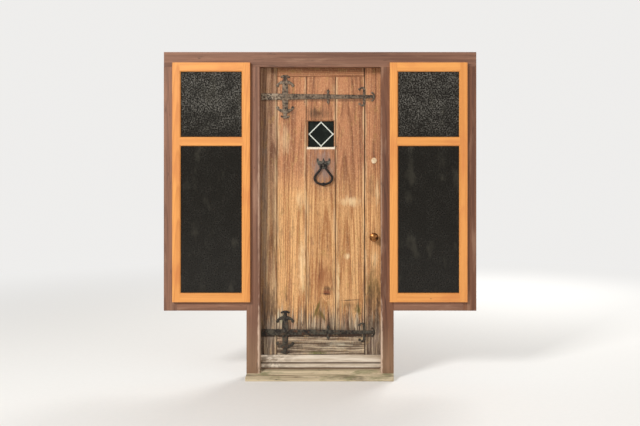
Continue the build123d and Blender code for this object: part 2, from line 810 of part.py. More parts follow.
def half_ring():
    """Right half of the ring's centre line, from the pivot bar down to the middle of the bottom."""
    bar = Line((0, 0), (ring_pivot_half_length, 0))
    shoulder = JernArc(bar @ 1, bar % 1, ring_shoulder_radius, -ring_shoulder_turn)
    flare = ring_shoulder_turn + ring_flare_angle - 90
    neck = JernArc(shoulder @ 1, shoulder % 1, ring_neck_radius, flare)
    corner_x = ring_half_width - ring_corner_radius
    side_end = corner_x + ring_corner_radius * cos(radians(ring_flare_angle))
    run = (side_end - (neck @ 1).X) / sin(radians(ring_flare_angle))
    side = Line(neck @ 1, (neck @ 1) + (neck % 1) * run)
    bottom_turn = degrees(asin(corner_x / (ring_bottom_radius - ring_corner_radius)))
    corner_turn = 90 + ring_flare_angle - bottom_turn
    corner = JernArc(side @ 1, side % 1, ring_corner_radius, -corner_turn)
    bottom = JernArc(corner @ 1, corner % 1, ring_bottom_radius, -bottom_turn)
    return [bar, shoulder, neck, side, corner, bottom]


ring_lines = half_ring()
ring_drop = -(ring_lines[-1] @ 1).Y
ring_plane = Plane(origin=(knocker_place, pivot_y, pivot_z), x_dir=(1, 0, 0), z_dir=(0, -1, 0))
ring_path = ring_plane * Wire([line.edge() for line in ring_lines])
ring_section = Plane(origin=(knocker_place, pivot_y, pivot_z), x_dir=(0, 1, 0), z_dir=(1, 0, 0))
half = sweep(ring_section * Circle(ring_bar_radius), path=ring_path)
ring = half + mirror(half, about=Plane.YZ.offset(knocker_place))
barrel_outline = Polyline((-ring_barrel_length / 2, ring_bar_radius), (-ring_barrel_length / 2, 0),
                          (ring_barrel_length / 2, 0), (ring_barrel_length / 2, ring_bar_radius))
barrel_outline += ThreePointArc((ring_barrel_length / 2, ring_bar_radius), (0, ring_barrel_radius),
                                (-ring_barrel_length / 2, ring_bar_radius))
barrel = revolve(make_face(barrel_outline), Axis.X)
ring += Pos(knocker_place, pivot_y, pivot_z - ring_drop) * barrel
nodes["knocker_ring"] = ring

eye_radius = ring_bar_radius + knocker_eye_wall
plate_face = leaf_recess - knocker_plate_thickness
plate_outline = Circle(knocker_disc_radius)
plate_outline += crescent((-knocker_wing_reach, knocker_wing_rise), (0, -knocker_wing_drop),
                          (knocker_wing_reach, knocker_wing_rise),
                          (0, knocker_wing_thickness - knocker_wing_drop))
for side in (-1, 1):
    tip_x = side * (knocker_wing_reach - knocker_wing_curl)
    plate_outline += Pos(tip_x, knocker_wing_rise) * Circle(knocker_wing_curl)
plate_outline += flat_shape((-knocker_spike_half_width, 0), (knocker_spike_half_width, 0),
                            (0, knocker_spike_height))
plate = raised(Pos(knocker_place, pivot_z) * plate_outline, leaf_recess, knocker_plate_thickness)
eye_left = knocker_place - knocker_eye_width / 2
eye_right = knocker_place + knocker_eye_width / 2
plate += rod_along_x(eye_left, eye_right, pivot_y, pivot_z, eye_radius)
plate += block(eye_left, eye_right, pivot_y, plate_face, pivot_z - eye_radius, pivot_z + eye_radius)
plate -= rod_along_x(eye_left, eye_right, pivot_y, pivot_z, ring_bar_radius + turning_clearance)
nodes["knocker_plate"] = plate

stud_front = pivot_y + ring_barrel_radius + stud_gap
stud_outline = Polyline((0, leaf_recess), (stud_radius, leaf_recess), (stud_radius, leaf_recess - stud_rim),
                        (stud_flat_radius, stud_front), (0, stud_front), close=True)
nodes["knocker_stud"] = turned(stud_outline, knocker_place, pivot_z - ring_drop)


# Knob latch: knobs on a square spindle, and a tubular latch let into the lock stile
def knob_outline(face, away):
    """Knob with a waisted neck that starts in the rose, standing away from a face."""
    waist = face + away * knob_neck_length
    shoulder = waist + away * knob_flare_length
    crown = face + away * knob_reach
    edge = crown - away * knob_crown_height
    inner = knob_radius - knob_rim_roll
    halfway = crown - away * cap_middle(inner, knob_crown_height)
    lines = [Polyline((0, face), (knob_neck_radius, face), (knob_neck_radius, waist)),
             ThreePointArc((knob_neck_radius, waist), (knob_neck_radius + 3, (waist + shoulder) / 2 + away),
                           (inner, shoulder)),
             ThreePointArc((inner, shoulder), (knob_radius, (shoulder + edge) / 2), (inner, edge)),
             ThreePointArc((inner, edge), (inner / 2, halfway), (0, crown)),
             Line((0, crown), (0, face))]
    return [edge for line in lines for edge in line.edges()]


def rose(face, away):
    rim = face + away * rose_thickness
    bead = face + away * rose_thickness * 0.45
    hole_radius = knob_neck_radius + turning_clearance
    outline = Polyline((hole_radius, face), (rose_radius, face), (rose_radius, bead),
                       (rose_radius * 0.86, rim), (hole_radius, rim), close=True)
    return turned(outline, knob_x, knob_z)


nodes["outer_rose"] = rose(leaf_recess, -1)
nodes["inner_rose"] = rose(frame_depth, 1)
nodes["outer_knob"] = turned(knob_outline(leaf_recess, -1), knob_x, knob_z)
spindle_half = spindle_width / 2
spindle = block(knob_x - spindle_half, knob_x + spindle_half, leaf_recess, frame_depth,
                knob_z - spindle_half, knob_z + spindle_half)
nodes["inner_knob"] = turned(knob_outline(frame_depth, 1), knob_x, knob_z) + spindle

spindle_hole_radius = spindle_half * 2 ** 0.5 + 0.6
spindle_hole = rod_along_y(knob_x, knob_z, spindle_hole_radius, leaf_recess, frame_depth)
case_start = leaf_half - latch_case_length
faceplate_back = leaf_half - faceplate_thickness
faceplate = block(faceplate_back, leaf_half, leaf_middle_depth - faceplate_width / 2,
                  leaf_middle_depth + faceplate_width / 2,
                  knob_z - faceplate_height / 2, knob_z + faceplate_height / 2)
latch_case = rod_along_x(case_start, faceplate_back, leaf_middle_depth, knob_z, latch_case_radius)
bolt_tip = leaf_half - bolt_rest_depth
bolt_tail = bolt_tip - latch_bolt_length


def bolt_way(tail, tip, y, z, thickness, height, clearance):
    """The bolt itself, or with a clearance the way that it slides in."""
    half_y, half_z = thickness / 2 + clearance, height / 2 + clearance
    return block(tail - clearance, tip, y - half_y, y + half_y, z - half_z, z + half_z)


latch_way = bolt_way(bolt_tail, leaf_half, leaf_middle_depth, knob_z,
                     latch_bolt_thickness, latch_bolt_height, bolt_clearance)
nodes["latch_case"] = latch_case + faceplate - latch_way - spindle_hole
latch_bolt = bolt_way(bolt_tail, bolt_tip, leaf_middle_depth, knob_z,
                      latch_bolt_thickness, latch_bolt_height, 0)
bevel_y = leaf_middle_depth - latch_bolt_thickness / 2
bevel = along_z([(bolt_tip, bevel_y), (bolt_tip, bevel_y + latch_bolt_thickness - 3),
                 (bolt_tip - latch_throw + 2, bevel_y)],
                knob_z - latch_bolt_height, knob_z + latch_bolt_height)
nodes["latch_bolt"] = latch_bolt - bevel
case_hole = rod_along_x(case_start, leaf_half, leaf_middle_depth, knob_z,
                        latch_case_radius + latch_case_clearance)
lock_stile = lock_stile - spindle_hole - case_hole - faceplate

# Night latch: key cylinder through the stile, case and turn knob inside, keep on the mullion
flange_face = leaf_recess - cylinder_flange_thickness
cylinder_outline = Polyline((plug_radius + turning_clearance, flange_face),
                            (cylinder_flange_radius - 2, flange_face),
                            (cylinder_flange_radius, flange_face + 2),
                            (cylinder_flange_radius, leaf_recess), (cylinder_radius, leaf_recess),
                            (cylinder_radius, frame_depth),
                            (plug_radius + turning_clearance, frame_depth), close=True)
nodes["cylinder_ring"] = turned(cylinder_outline, knob_x, night_z)
plug = rod_along_y(knob_x, night_z, plug_radius, flange_face, frame_depth)
keyway = block(knob_x - keyway_width / 2, knob_x + keyway_width / 2, flange_face,
               flange_face + keyway_depth, night_z - keyway_height / 2, night_z + keyway_height / 2)
nodes["cylinder_plug"] = plug - keyway
lock_stile -= rod_along_y(knob_x, night_z, cylinder_radius + turning_clearance, leaf_recess, frame_depth)

case_end = leaf_half - keep_gap
case_back = frame_depth + night_case_depth
night_case = block(case_end - night_case_length, case_end, frame_depth, case_back,
                   night_z - night_case_height / 2, night_z + night_case_height / 2)
night_case = chamfer(night_case.faces().sort_by(Axis.Y)[-1].edges(), night_case_edge)
night_bolt_y = frame_depth + night_case_depth / 2
night_tip = case_end - bolt_rest_depth
night_tail = night_tip - night_bolt_length
night_way = bolt_way(night_tail, case_end, night_bolt_y, night_z,
                     night_bolt_thickness, night_bolt_height, bolt_clearance)
shaft_start = case_back - night_case_edge * 2
shaft_hole = rod_along_y(knob_x, night_z, night_shaft_radius + turning_clearance, shaft_start, case_back)
nodes["night_latch_case"] = night_case - night_way - shaft_hole
nodes["night_bolt"] = bolt_way(night_tail, night_tip, night_bolt_y, night_z,
                               night_bolt_thickness, night_bolt_height, 0)
shaft = rod_along_y(knob_x, night_z, night_shaft_radius, shaft_start, case_back + seat_gap)
turn_knob_start = case_back + seat_gap
turn_knob = raised(Pos(knob_x, night_z) * Circle(night_knob_radius),
                   turn_knob_start + night_knob_depth / 2, night_knob_depth / 2)
grip = raised(Pos(knob_x, night_z) * SlotOverall(night_grip_length, night_grip_width),
              turn_knob_start + night_knob_depth, night_knob_depth)
nodes["night_knob"] = shaft + turn_knob + grip

keep_start = rebate_half + keep_gap
keep = block(keep_start, keep_start + keep_length, frame_depth, case_back,
             night_z - night_case_height / 2, night_z + night_case_height / 2)
keep = chamfer(keep.faces().sort_by(Axis.Y)[-1].edges(), night_case_edge)
keep -= bolt_way(keep_start, keep_start + night_throw + 3, night_bolt_y, night_z,
                 night_bolt_thickness, night_bolt_height, 1.5)
nodes["night_keep"] = keep

nodes["hinge_stile"] = hinge_stile
nodes["lock_stile"] = lock_stile

os.makedirs("parts", exist_ok=True)
for name, piece in nodes.items():
    export_step(piece, "parts/" + name + ".step")
print(len(nodes), "nodes written")
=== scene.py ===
# %% [markdown]
# A boarded oak front door hangs in a brown stained frame, between two fixed windows. Its solids
# are finished elsewhere and come in as a fixed model, in metres: X to the right, Y inwards, Z up.
# This lesson gives them their looks: eased edges, forged iron, glass, screws and weathered wood.

# %% Load the door
import json
from functools import reduce
from math import cos, inf, pi, radians, sin

import bmesh
import bpy
from mathutils import Euler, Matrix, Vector, noise


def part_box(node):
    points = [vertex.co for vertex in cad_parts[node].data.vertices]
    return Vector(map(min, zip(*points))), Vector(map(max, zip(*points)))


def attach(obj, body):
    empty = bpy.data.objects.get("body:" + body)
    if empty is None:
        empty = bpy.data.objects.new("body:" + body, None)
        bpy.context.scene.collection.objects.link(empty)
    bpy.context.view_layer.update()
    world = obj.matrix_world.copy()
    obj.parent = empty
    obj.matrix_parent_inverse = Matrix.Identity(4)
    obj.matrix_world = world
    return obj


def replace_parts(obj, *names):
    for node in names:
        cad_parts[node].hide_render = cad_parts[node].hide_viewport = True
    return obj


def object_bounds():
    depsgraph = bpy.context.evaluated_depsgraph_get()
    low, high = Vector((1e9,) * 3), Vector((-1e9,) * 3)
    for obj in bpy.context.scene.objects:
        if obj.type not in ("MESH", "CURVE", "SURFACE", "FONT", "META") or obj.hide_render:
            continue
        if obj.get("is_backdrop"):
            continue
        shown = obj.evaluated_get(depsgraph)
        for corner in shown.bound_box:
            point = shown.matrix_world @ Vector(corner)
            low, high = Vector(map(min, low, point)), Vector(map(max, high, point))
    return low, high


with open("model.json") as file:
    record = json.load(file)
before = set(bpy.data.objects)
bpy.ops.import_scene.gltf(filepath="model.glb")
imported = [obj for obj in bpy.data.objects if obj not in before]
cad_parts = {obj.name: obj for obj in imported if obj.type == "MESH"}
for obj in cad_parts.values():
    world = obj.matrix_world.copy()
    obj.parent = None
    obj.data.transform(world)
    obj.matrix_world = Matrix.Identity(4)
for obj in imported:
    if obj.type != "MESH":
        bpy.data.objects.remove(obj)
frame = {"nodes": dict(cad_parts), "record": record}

nodes = frame["nodes"]
slot_of = {part["node"]: part["material_slot"] for part in frame["record"]["subparts"]}
body_of = {node: body for body, members in frame["record"]["behaviour"]["bodies"].items()
           for node in members}
cad_low, cad_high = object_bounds()


def middle_of(node):
    """The middle of a node's box."""
    low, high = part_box(node)
    return (low + high) / 2


print(len(nodes), "pieces, overall", [round(x, 3) for x in cad_high - cad_low])

# %% [markdown]
# The photograph was taken a little to the right of the door, level, at eye height. A level camera
# keeps upright lines upright. Standing where the photographer stood gives the same view of every
# edge, and a longer lens with some shift only crops it.

# %% Camera
eye = Vector((0.415, -5.7, 1.493))
camera = bpy.data.objects.new("camera", bpy.data.cameras.new("camera"))
bpy.context.scene.collection.objects.link(camera)
camera.location = eye
camera.rotation_euler = Euler((radians(90), 0, 0))
camera.data.lens = 47.4
camera.data.shift_x = -0.096
camera.data.shift_y = -0.085
bpy.context.scene.camera = camera
bpy.context.scene.view_settings.view_transform = "Standard"
print("camera at", tuple(eye), "with a lens of", camera.data.lens, "mm")

# %% [markdown]
# Materials, the world and the trees that make screws are all trees of small nodes. Wiring each
# node by hand takes many lines, so two short functions do it: a value that is a socket is linked,
# and a plain value is set on the node itself. A colour of three numbers is written as a screen
# shows it.


# %% A short way to wire nodes
def linear(*shown):
    """A colour as a screen shows it, 0 to 255, in the linear numbers that a shader takes."""
    return (*[((c / 255 + 0.055) / 1.055) ** 2.4 if c > 10 else c / 255 / 12.92 for c in shown], 1)


def feed(tree, socket, value):
    """Links a socket, or each of a list of them, to an input, or sets a plain value on it."""
    for source in value if isinstance(value, list) else [value]:
        if isinstance(source, bpy.types.NodeSocket):
            tree.links.new(source, socket)
        elif socket.type == "RGBA" and len(source) == 3:
            socket.default_value = linear(*source)
        else:
            socket.default_value = source


def wire(tree, kind, inputs=None, give=0, **settings):
    """Adds a node to a tree, with its settings and inputs, and gives one of its outputs."""
    node = tree.nodes.new(kind)
    for key, value in settings.items():
        setattr(node, key, value)
    for key, value in (inputs or {}).items():
        feed(tree, node.inputs[key], value)
    return node.outputs[give]


print("nodes can be wired")

# %% [markdown]
# Studio light shows a surface best when one large lamp comes from the side and the rest is even.
# Here the big lamp is high on the left, because the pale edges in the photo face that way. The
# levels are set so that a colour on the front renders about as it is written.

# %% Lamps and world
centre = (cad_low + cad_high) / 2
sky_tint = (1.0, 0.99, 0.975, 1)
sky_light = 0.46  # how strongly the sky lights the door
sky_seen = 0.86  # how pale it looks behind the door


def soft_lamp(name, place, size, watts):
    """A square lamp that looks at the middle of the door."""
    lamp = bpy.data.objects.new(name, bpy.data.lights.new(name, "AREA"))
    lamp.data.size = size
    lamp.data.energy = watts
    lamp.location = place
    lamp.rotation_euler = (centre - Vector(place)).to_track_quat("-Z", "Y").to_euler()
    bpy.context.scene.collection.objects.link(lamp)


def pale_world():
    """An even sky that lights the door at one level and is seen as a paler background."""
    world = bpy.data.worlds.new("studio")
    world.use_nodes = True
    bpy.context.scene.world = world
    tree = world.node_tree
    rays = wire(tree, "ShaderNodeLightPath").node.outputs
    direct = wire(tree, "ShaderNodeMath",
                  {0: rays["Is Camera Ray"], 1: rays["Is Transmission Ray"]}, operation="MAXIMUM")
    level = wire(tree, "ShaderNodeMapRange",
                 {"Value": direct, "To Min": sky_light, "To Max": sky_seen})
    background = tree.nodes["Background"].inputs
    feed(tree, background["Color"], sky_tint)
    feed(tree, background["Strength"], level)


soft_lamp("key_lamp", (-5.1, -6.9, 6.0), 2.6, 730)
soft_lamp("fill_lamp", (4.2, -4.8, 2.2), 3.0, 60)
soft_lamp("back_lamp", (2.6, 5.2, 3.6), 3.0, 240)
pale_world()
print("three lamps and an even world")

# %% [markdown]
# Procedural materials are sums, noises and smooth steps of a point's place on the object. A small
# class gives each of them a short word, so that a pattern can be read as a sentence.


# %% A short word for each shader node
class Patterns:
    """A shader tree, the place of a point in metres, and the patterns that are made from it."""

    def __init__(self, tree):
        self.tree = tree
        self.place = self.add("ShaderNodeTexCoord", give="Object")
        self.x, self.y, self.z = self.split(self.place)

    def add(self, kind, inputs=None, give=0, **settings):
        return wire(self.tree, kind, inputs, give, **settings)

    def math(self, operation, a, b=0.0):
        return self.add("ShaderNodeMath", {0: a, 1: b}, operation=operation)

    def times(self, a, b):
        return self.math("MULTIPLY", a, b)

    def plus(self, a, b):
        return self.math("ADD", a, b)

    def most(self, a, b):
        return self.math("MAXIMUM", a, b)

    def total(self, *parts):
        """The sum of parts that are given as (value, weight)."""
        return reduce(self.plus, [self.times(value, weight) for value, weight in parts])

    def off(self, value, middle):
        """How far a value lies from a middle, on either side."""
        return self.math("ABSOLUTE", self.plus(value, -middle))

    def shaken(self, value, shake, amount):
        """A value pushed to and fro by a noise."""
        return self.plus(value, self.times(self.plus(shake, -0.5), amount))

    def stretch(self, vector, by):
        return self.add("ShaderNodeVectorMath", {0: vector, 1: by}, operation="MULTIPLY")

    def shift(self, vector, by):
        return self.add("ShaderNodeVectorMath", {0: vector, 1: by}, operation="ADD")

    def split(self, vector):
        return self.add("ShaderNodeSeparateXYZ", {0: vector}).node.outputs

    def length(self, vector):
        return self.add("ShaderNodeVectorMath", {0: vector}, "Value", operation="LENGTH")

    def noise(self, scale, detail=2.0, rough=0.5, vector=None, give="Fac"):
        """Soft noise. A scale of three numbers makes it finer along some axes than others."""
        vector = vector or self.place
        if isinstance(scale, tuple):
            vector, scale = self.stretch(vector, scale), 1
        return self.add("ShaderNodeTexNoise", {"Vector": vector, "Scale": scale, "Detail": detail,
                                               "Roughness": rough}, give)

    def cells(self, vector, scale, feature="F1"):
        return self.add("ShaderNodeTexVoronoi", {"Vector": vector, "Scale": scale}, "Distance",
                        feature=feature)

    def dimples(self, scale, wobble_scale, wobble):
        """Soft dimples whose outlines wobble."""
        bend = self.stretch(self.noise(wobble_scale, give="Color"), (wobble,) * 3)
        return self.cells(self.shift(self.place, bend), scale, "SMOOTH_F1")

    def span(self, value, low, high, start=0.0, end=1.0):
        """Goes smoothly from start to end while the value goes from low to high."""
        return self.add("ShaderNodeMapRange", {"Value": value, "From Min": low, "From Max": high,
                                               "To Min": start, "To Max": end},
                        interpolation_type="SMOOTHSTEP")

    def curve(self, value, *stops):
        """A grey ramp through (place, level) stops."""
        ramp = self.add("ShaderNodeValToRGB", {"Fac": value})
        points = ramp.node.color_ramp.elements
        while len(points) < len(stops):
            points.new(0.5)
        for point, (place, level) in zip(points, stops):
            point.position = place
            point.color = (level, level, level, 1)
        return ramp

    def spot(self, x, z, half_width, half_height, turn=0.0, ragged=0.9, soft=1.0):
        """A patch on the front with an upright, ragged edge: 1 in its middle and 0 outside."""
        inside = self.add("ShaderNodeMapping",
                          {"Vector": self.place, "Location": (x, 0, z),
                           "Rotation": (0, radians(turn), 0),
                           "Scale": (half_width, 9, half_height)}, vector_type="TEXTURE")
        edge = self.noise((75, 75, 20), 4, 0.6)
        return self.span(self.shaken(self.length(inside), edge, ragged * 2), 1.0, 1.0 - soft)

    def band(self, value, middle, half, soft=0.002):
        """1 where a value lies within half of the middle, and 0 outside."""
        return self.span(self.off(value, middle), half + soft, half)


print("patterns have short words")

# %% [markdown]
# A finish is built as a painter builds it: a ground colour first, and then one thin glaze over
# another, each with a share that says where it lies. The finish holds the colour so far.


# %% A material in glazes
class Finish(Patterns):
    """A material, its patterns and its colour so far."""

    def __init__(self, name):
        self.material = bpy.data.materials.new(name)
        self.material.use_nodes = True
        super().__init__(self.material.node_tree)
        self.surface = self.tree.nodes["Principled BSDF"]
        self.colour = None

    def mix(self, share, a, b, blend="MIX"):
        return self.add("ShaderNodeMix", {0: share, 6: a, 7: b}, 2, data_type="RGBA",
                        blend_type=blend)

    def glaze(self, paint, share, strength=None):
        """Lays a paint over the colour so far, where and as strongly as its share says."""
        if strength is not None:
            share = self.times(share, strength)
        self.colour = self.mix(share, self.colour, paint)

    def bump(self, height, distance, strength):
        return self.add("ShaderNodeBump",
                        {"Height": height, "Distance": distance, "Strength": strength})

    def finish(self, rough, normal=None, **plain):
        """Puts the colour, roughness, normal and plain values on the surface."""
        values = {"Base Color": self.colour, "Roughness": rough, "Normal": normal, **plain}
        for key, value in values.items():
            if value is not None:
                feed(self.tree, self.surface.inputs[key.replace("_", " ")], value)
        return self.material


print("finishes can be mixed")

# %% [markdown]
# The floor is a plain pale sheet. Far from the door it glows as pale as the sky, for the camera
# alone, so that no line shows where the two meet, while the door still throws its shadow on the
# near part.


# %% Floor
def pale_floor():
    coat = Finish("studio_floor")
    speckle = coat.noise(30)
    coat.colour = coat.mix(speckle, (232, 230, 226), (236, 234, 230))
    coat.finish(0.85)
    far = coat.span(coat.length(coat.place), 2.2, 7.0)
    to_camera = coat.add("ShaderNodeLightPath", give="Is Camera Ray")
    glow = coat.add("ShaderNodeEmission", {"Color": sky_tint, "Strength": sky_seen})
    blend = coat.add("ShaderNodeMixShader",
                     {0: coat.times(far, to_camera), 1: coat.surface.outputs[0], 2: glow})
    feed(coat.tree, coat.tree.nodes["Material Output"].inputs["Surface"], blend)
    return coat.material


bpy.ops.mesh.primitive_circle_add(vertices=96, radius=60, fill_type="NGON")
floor = bpy.context.object
floor.name = "floor"
floor.data.materials.append(pale_floor())
floor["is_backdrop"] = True
print("the floor is laid")

# %% [markdown]
# Every stick of timber has its own grain, which runs along its length. A shader can't know that,
# so each separate stick stores a place in the log that it was cut from: three numbers whose last
# one runs along the stick. Rails and stiles then share one finish, and no two pieces show the
# same figure.


# %% Where each stick lay in its log
def islands(mesh):
    """The connected parts of a bmesh, as lists of vertices, in the mesh's own order."""
    seen, groups = set(), []
    for first in mesh.verts:
        if first in seen:
            continue
        seen.add(first)
        group, edge = [], [first]
        while edge:
            vert = edge.pop()
            group.append(vert)
            for link in vert.link_edges:
                other = link.other_vert(vert)
                if other not in seen:
                    seen.add(other)
                    edge.append(other)
        groups.append(group)
    return groups


def corners(group):
    """Lowest and highest corner of a group of vertices."""
    return (Vector(min(v.co[i] for v in group) for i in range(3)),
            Vector(max(v.co[i] for v in group) for i in range(3)))


def place_in_log(stick, seed):
    """Turns the stick's longest side to the third number, and shifts it to its part of the log."""
    low, high = corners(stick)
    size = high - low
    along = max(range(3), key=lambda i: size[i])
    order = [i for i in (0, 1, 2) if i != along] + [along]
    middle = (low + high) / 2
    pith = Vector((noise.random() * 0.16 - 0.08, 0.03 + noise.random() * 0.09, noise.random() * 4))
    for vert in stick:
        turned = vert.co - middle
        vert[seed] = Vector(turned[i] for i in order) + pith


noise.seed_set(7)
print("grain follows each stick")

# %% [markdown]
# Real timber never has a sharp corner: the plane, sandpaper and weather ease it. A bevel on a
# merged copy of the solid gives each edge a small highlight. The copy then stands for the solid,
# which stays untouched underneath. Sticks that touch are merged one by one, because a wall that
# two sticks share would spoil the bevel. Their triangles come one stick after another, so a stick
# is whole as soon as none of its edges is left open.


# %% Ease the arrises of the timber
def shells(mesh):
    """The corners of each closed solid in a bmesh of loose triangles that come solid by solid."""
    groups, group, open_edges = [], [], set()
    for face in mesh.faces:
        group += face.verts
        places = [tuple(round(x, 6) for x in vert.co) for vert in face.verts]
        for start, end in zip(places, places[1:] + places[:1]):
            if start != end:
                open_edges ^= {frozenset((start, end))}
        if not open_edges:
            groups.append(group)
            group = []
    return groups + [group] if group else groups


def copy_of(node):
    """A merged copy of a node, with flat faces made whole. Solids that touch stay apart."""
    mesh = bmesh.new()
    mesh.from_mesh(nodes[node].data)
    for verts in shells(mesh):
        bmesh.ops.remove_doubles(mesh, verts=list(dict.fromkeys(verts)), dist=2e-6)
    bmesh.ops.dissolve_limit(mesh, angle_limit=radians(0.5), verts=mesh.verts, edges=mesh.edges)
    return mesh


def stand_in(mesh, name, node, material, smooth=False):
    """A piece made from a bmesh that stands for a solid and moves with its body."""
    data = bpy.data.meshes.new(name)
    mesh.to_mesh(data)
    mesh.free()
    data.materials.append(material)
    data.polygons.foreach_set("use_smooth", [smooth] * len(data.polygons))
    if smooth:
        data.set_sharp_from_angle(angle=radians(40))
    piece = bpy.data.objects.new(name, data)
    bpy.context.scene.collection.objects.link(piece)
    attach(piece, body_of[node])
    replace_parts(piece, node)


def eased(node, width, material, segments=2, shortest=0.0):
    """A stick or case with its edges rounded by a bevel, and its place in the log stored. Edges
    that are no longer than the shortest, such as a nail hole's, stay sharp."""
    mesh = copy_of(node)
    sharp = [e for e in mesh.edges if len(e.link_faces) == 2 and e.calc_face_angle() > radians(25)
             and e.calc_length() > shortest]
    bmesh.ops.bevel(mesh, geom=sharp, offset=width, segments=segments, affect="EDGES",
                    clamp_overlap=True, profile=0.6)
    seed = mesh.verts.layers.float_vector.new("grain_place")
    for stick in islands(mesh):
        place_in_log(stick, seed)
    stand_in(mesh, node + "_eased", node, material)


print("edges can be eased")

# %% [markdown]
# Oak shows rings, pores and fibres, and cracks as it dries. The rings are tubes about the pith of
# the tree: a board that leans across them shows arches. Adding a hump to the distance from the
# pith makes the rings flow round a knot. The same grain serves every timber here, with its own
# colours on top.


# %% The grain of timber
def grain(coat, ring_width=0.011, wander=0.02, lean=0.022, knots=()):
    """Gives a coat its rings, streaks, fibres, pores and cracks, from 0 to 1, along the stick."""
    coat.stick = coat.add("ShaderNodeAttribute", give="Vector", attribute_name="grain_place")
    drift = coat.shift(coat.noise((6, 6, 1.1), vector=coat.stick, give="Color"), (-0.5, -0.5, -0.5))
    bent = coat.shift(coat.stick, coat.stretch(drift, (wander, wander, 0)))
    x, y, z = coat.split(bent)
    depth = coat.plus(y, coat.times(z, lean))
    radius = coat.length(coat.add("ShaderNodeCombineXYZ", {0: x, 1: depth}))
    for knot_x, knot_z, size in knots:
        hump = coat.spot(knot_x, knot_z, size * 1.5, size * 3, ragged=0.05)
        radius = coat.plus(radius, coat.times(hump, ring_width * 3.5))
    rings = coat.math("FRACT", coat.math("DIVIDE", radius, ring_width))
    coat.ring = coat.curve(rings, (0.0, 0.0), (0.5, 0.25), (0.86, 1.0), (1.0, 0.05))
    coat.streak = coat.noise((34, 34, 0.7), 3, 0.6, bent)
    coat.fibre = coat.noise((330, 330, 5), 3, 0.6, bent)
    coat.pore = coat.span(coat.noise((620, 620, 16), vector=bent), 0.6, 0.7)
    coat.crack = coat.span(coat.off(coat.noise((52, 52, 1.3), 2, 0.4, bent), 0.5), 0.01, 0.003)


def stained_ground(coat, ring_share, light, dark):
    """Mixes a light and a dark colour by the rings and streaks."""
    tone = coat.total((coat.ring, ring_share), (coat.span(coat.streak, 0.3, 0.7), 1 - ring_share))
    coat.colour = coat.mix(tone, light, dark)


print("timber grain is ready")

# %% [markdown]
# The oak boards tell the height above the step. Under the shelter they keep a reddish brown, in
# the middle the sun has turned them honey coloured, and at the foot rain has bleached them grey.
# The tone follows the height, shaken by noise. Soft patches and flecks then break up the grain.

# %% The ground colours of oak, each (light, dark)
oak_top = ((188, 129, 90), (130, 80, 53))
oak_middle = ((224, 172, 116), (168, 112, 66))
oak_foot = ((202, 182, 154), (80, 64, 52))
oak_inside = ((206, 154, 96), (160, 106, 60))


def oak_ground(coat, grey):
    """The grain in the colours of its height."""
    tone = coat.total((coat.ring, 0.34), (coat.span(coat.streak, 0.32, 0.68), 0.46),
                      (coat.span(coat.fibre, 0.3, 0.7), 0.2))
    coat.tone = coat.span(tone, 0.2, 0.8)
    cloud = coat.noise((5, 5, 2.2), 3)
    sunned = coat.span(coat.shaken(coat.z, cloud, 0.42), 1.5, 1.1)
    coat.drip = coat.noise((70, 70, 3), 3)
    coat.wet_line = coat.shaken(coat.z, coat.drip, 0.42)
    bleached = coat.most(coat.span(coat.wet_line, 0.5, 0.33), grey)
    light, dark = [coat.mix(bleached, coat.mix(sunned, top, middle), foot)
                   for top, middle, foot in zip(oak_top, oak_middle, oak_foot)]
    coat.colour = coat.mix(coat.tone, light, dark)


def oak_flecks(coat):
    """Ochre and dusky patches, pale flecks across the grain, and a fine mottle."""
    ochre = coat.noise((34, 34, 11), 3, 0.6, coat.stick)
    coat.glaze((172, 134, 78), coat.span(ochre, 0.54, 0.7, 0, 0.5))
    coat.dusky = coat.noise((19, 19, 5), 4, 0.6, coat.stick)
    coat.glaze((140, 98, 74), coat.span(coat.dusky, 0.52, 0.7, 0, 0.5))
    fleck = coat.noise((42, 42, 210), 2, 0.6, coat.stick)
    coat.glaze((236, 198, 146), coat.span(fleck, 0.58, 0.74, 0, 0.26))
    coat.mottle = coat.noise((150, 150, 70), 4, 0.7)
    coat.glaze((128, 88, 58), coat.span(coat.mottle, 0.5, 0.68, 0, 0.42))
    coat.glaze((240, 200, 146), coat.span(coat.mottle, 0.48, 0.34, 0, 0.24))


print("oak has its ground colours")

# %% [markdown]
# Over the ground lie the marks of use: dirt in the V joints, knots and stains. Two more marks are
# painted light: a black line under each hinge front is painted shadow of the iron, which also
# stands for the black stain of wet iron on oak, and a pale strip on the splay under the small
# window is a painted highlight. Their places are read from the solids where a solid causes them.

# %% The marks on the oak
board_joint, stile_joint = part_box("board_right")[0].x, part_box("lock_stile")[0].x
stile_joints = [(-stile_joint, 0.55), (stile_joint, 0.95)]
all_joints = stile_joints + [(-board_joint, 0.5), (board_joint, 0.65)]
upper_axis, lower_axis, window = map(middle_of, ("strap_upper", "strap_lower", "vision_lead"))
strap_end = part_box("strap_lower")[1].x
shadow_line_drop = 0.017  # from a hinge front's axis down to the line under it
splay_width, splay_drop, splay_half = 0.007, 0.005, 0.0085
splay_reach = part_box("vision_lead")[1].x - window.x + splay_width
splay_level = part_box("vision_lead")[0].z - splay_drop


def joint_lines(coat, joints):
    """Dark dirt in the V joints, and worn paler wood beside them. A joint is (place, darkness)."""
    along = coat.noise((60, 60, 5), 3, 0.6)
    dirty, worn = 0.0, 0.0
    for place, dark in joints:
        off = coat.shaken(coat.off(coat.x, place), along, 0.007)
        dirty = coat.most(dirty, coat.span(off, 0.007, 0.0025, 0, dark))
        worn = coat.most(worn, coat.span(off, 0.024, 0.008))
    return dirty, coat.times(worn, coat.span(along, 0.45, 0.62))


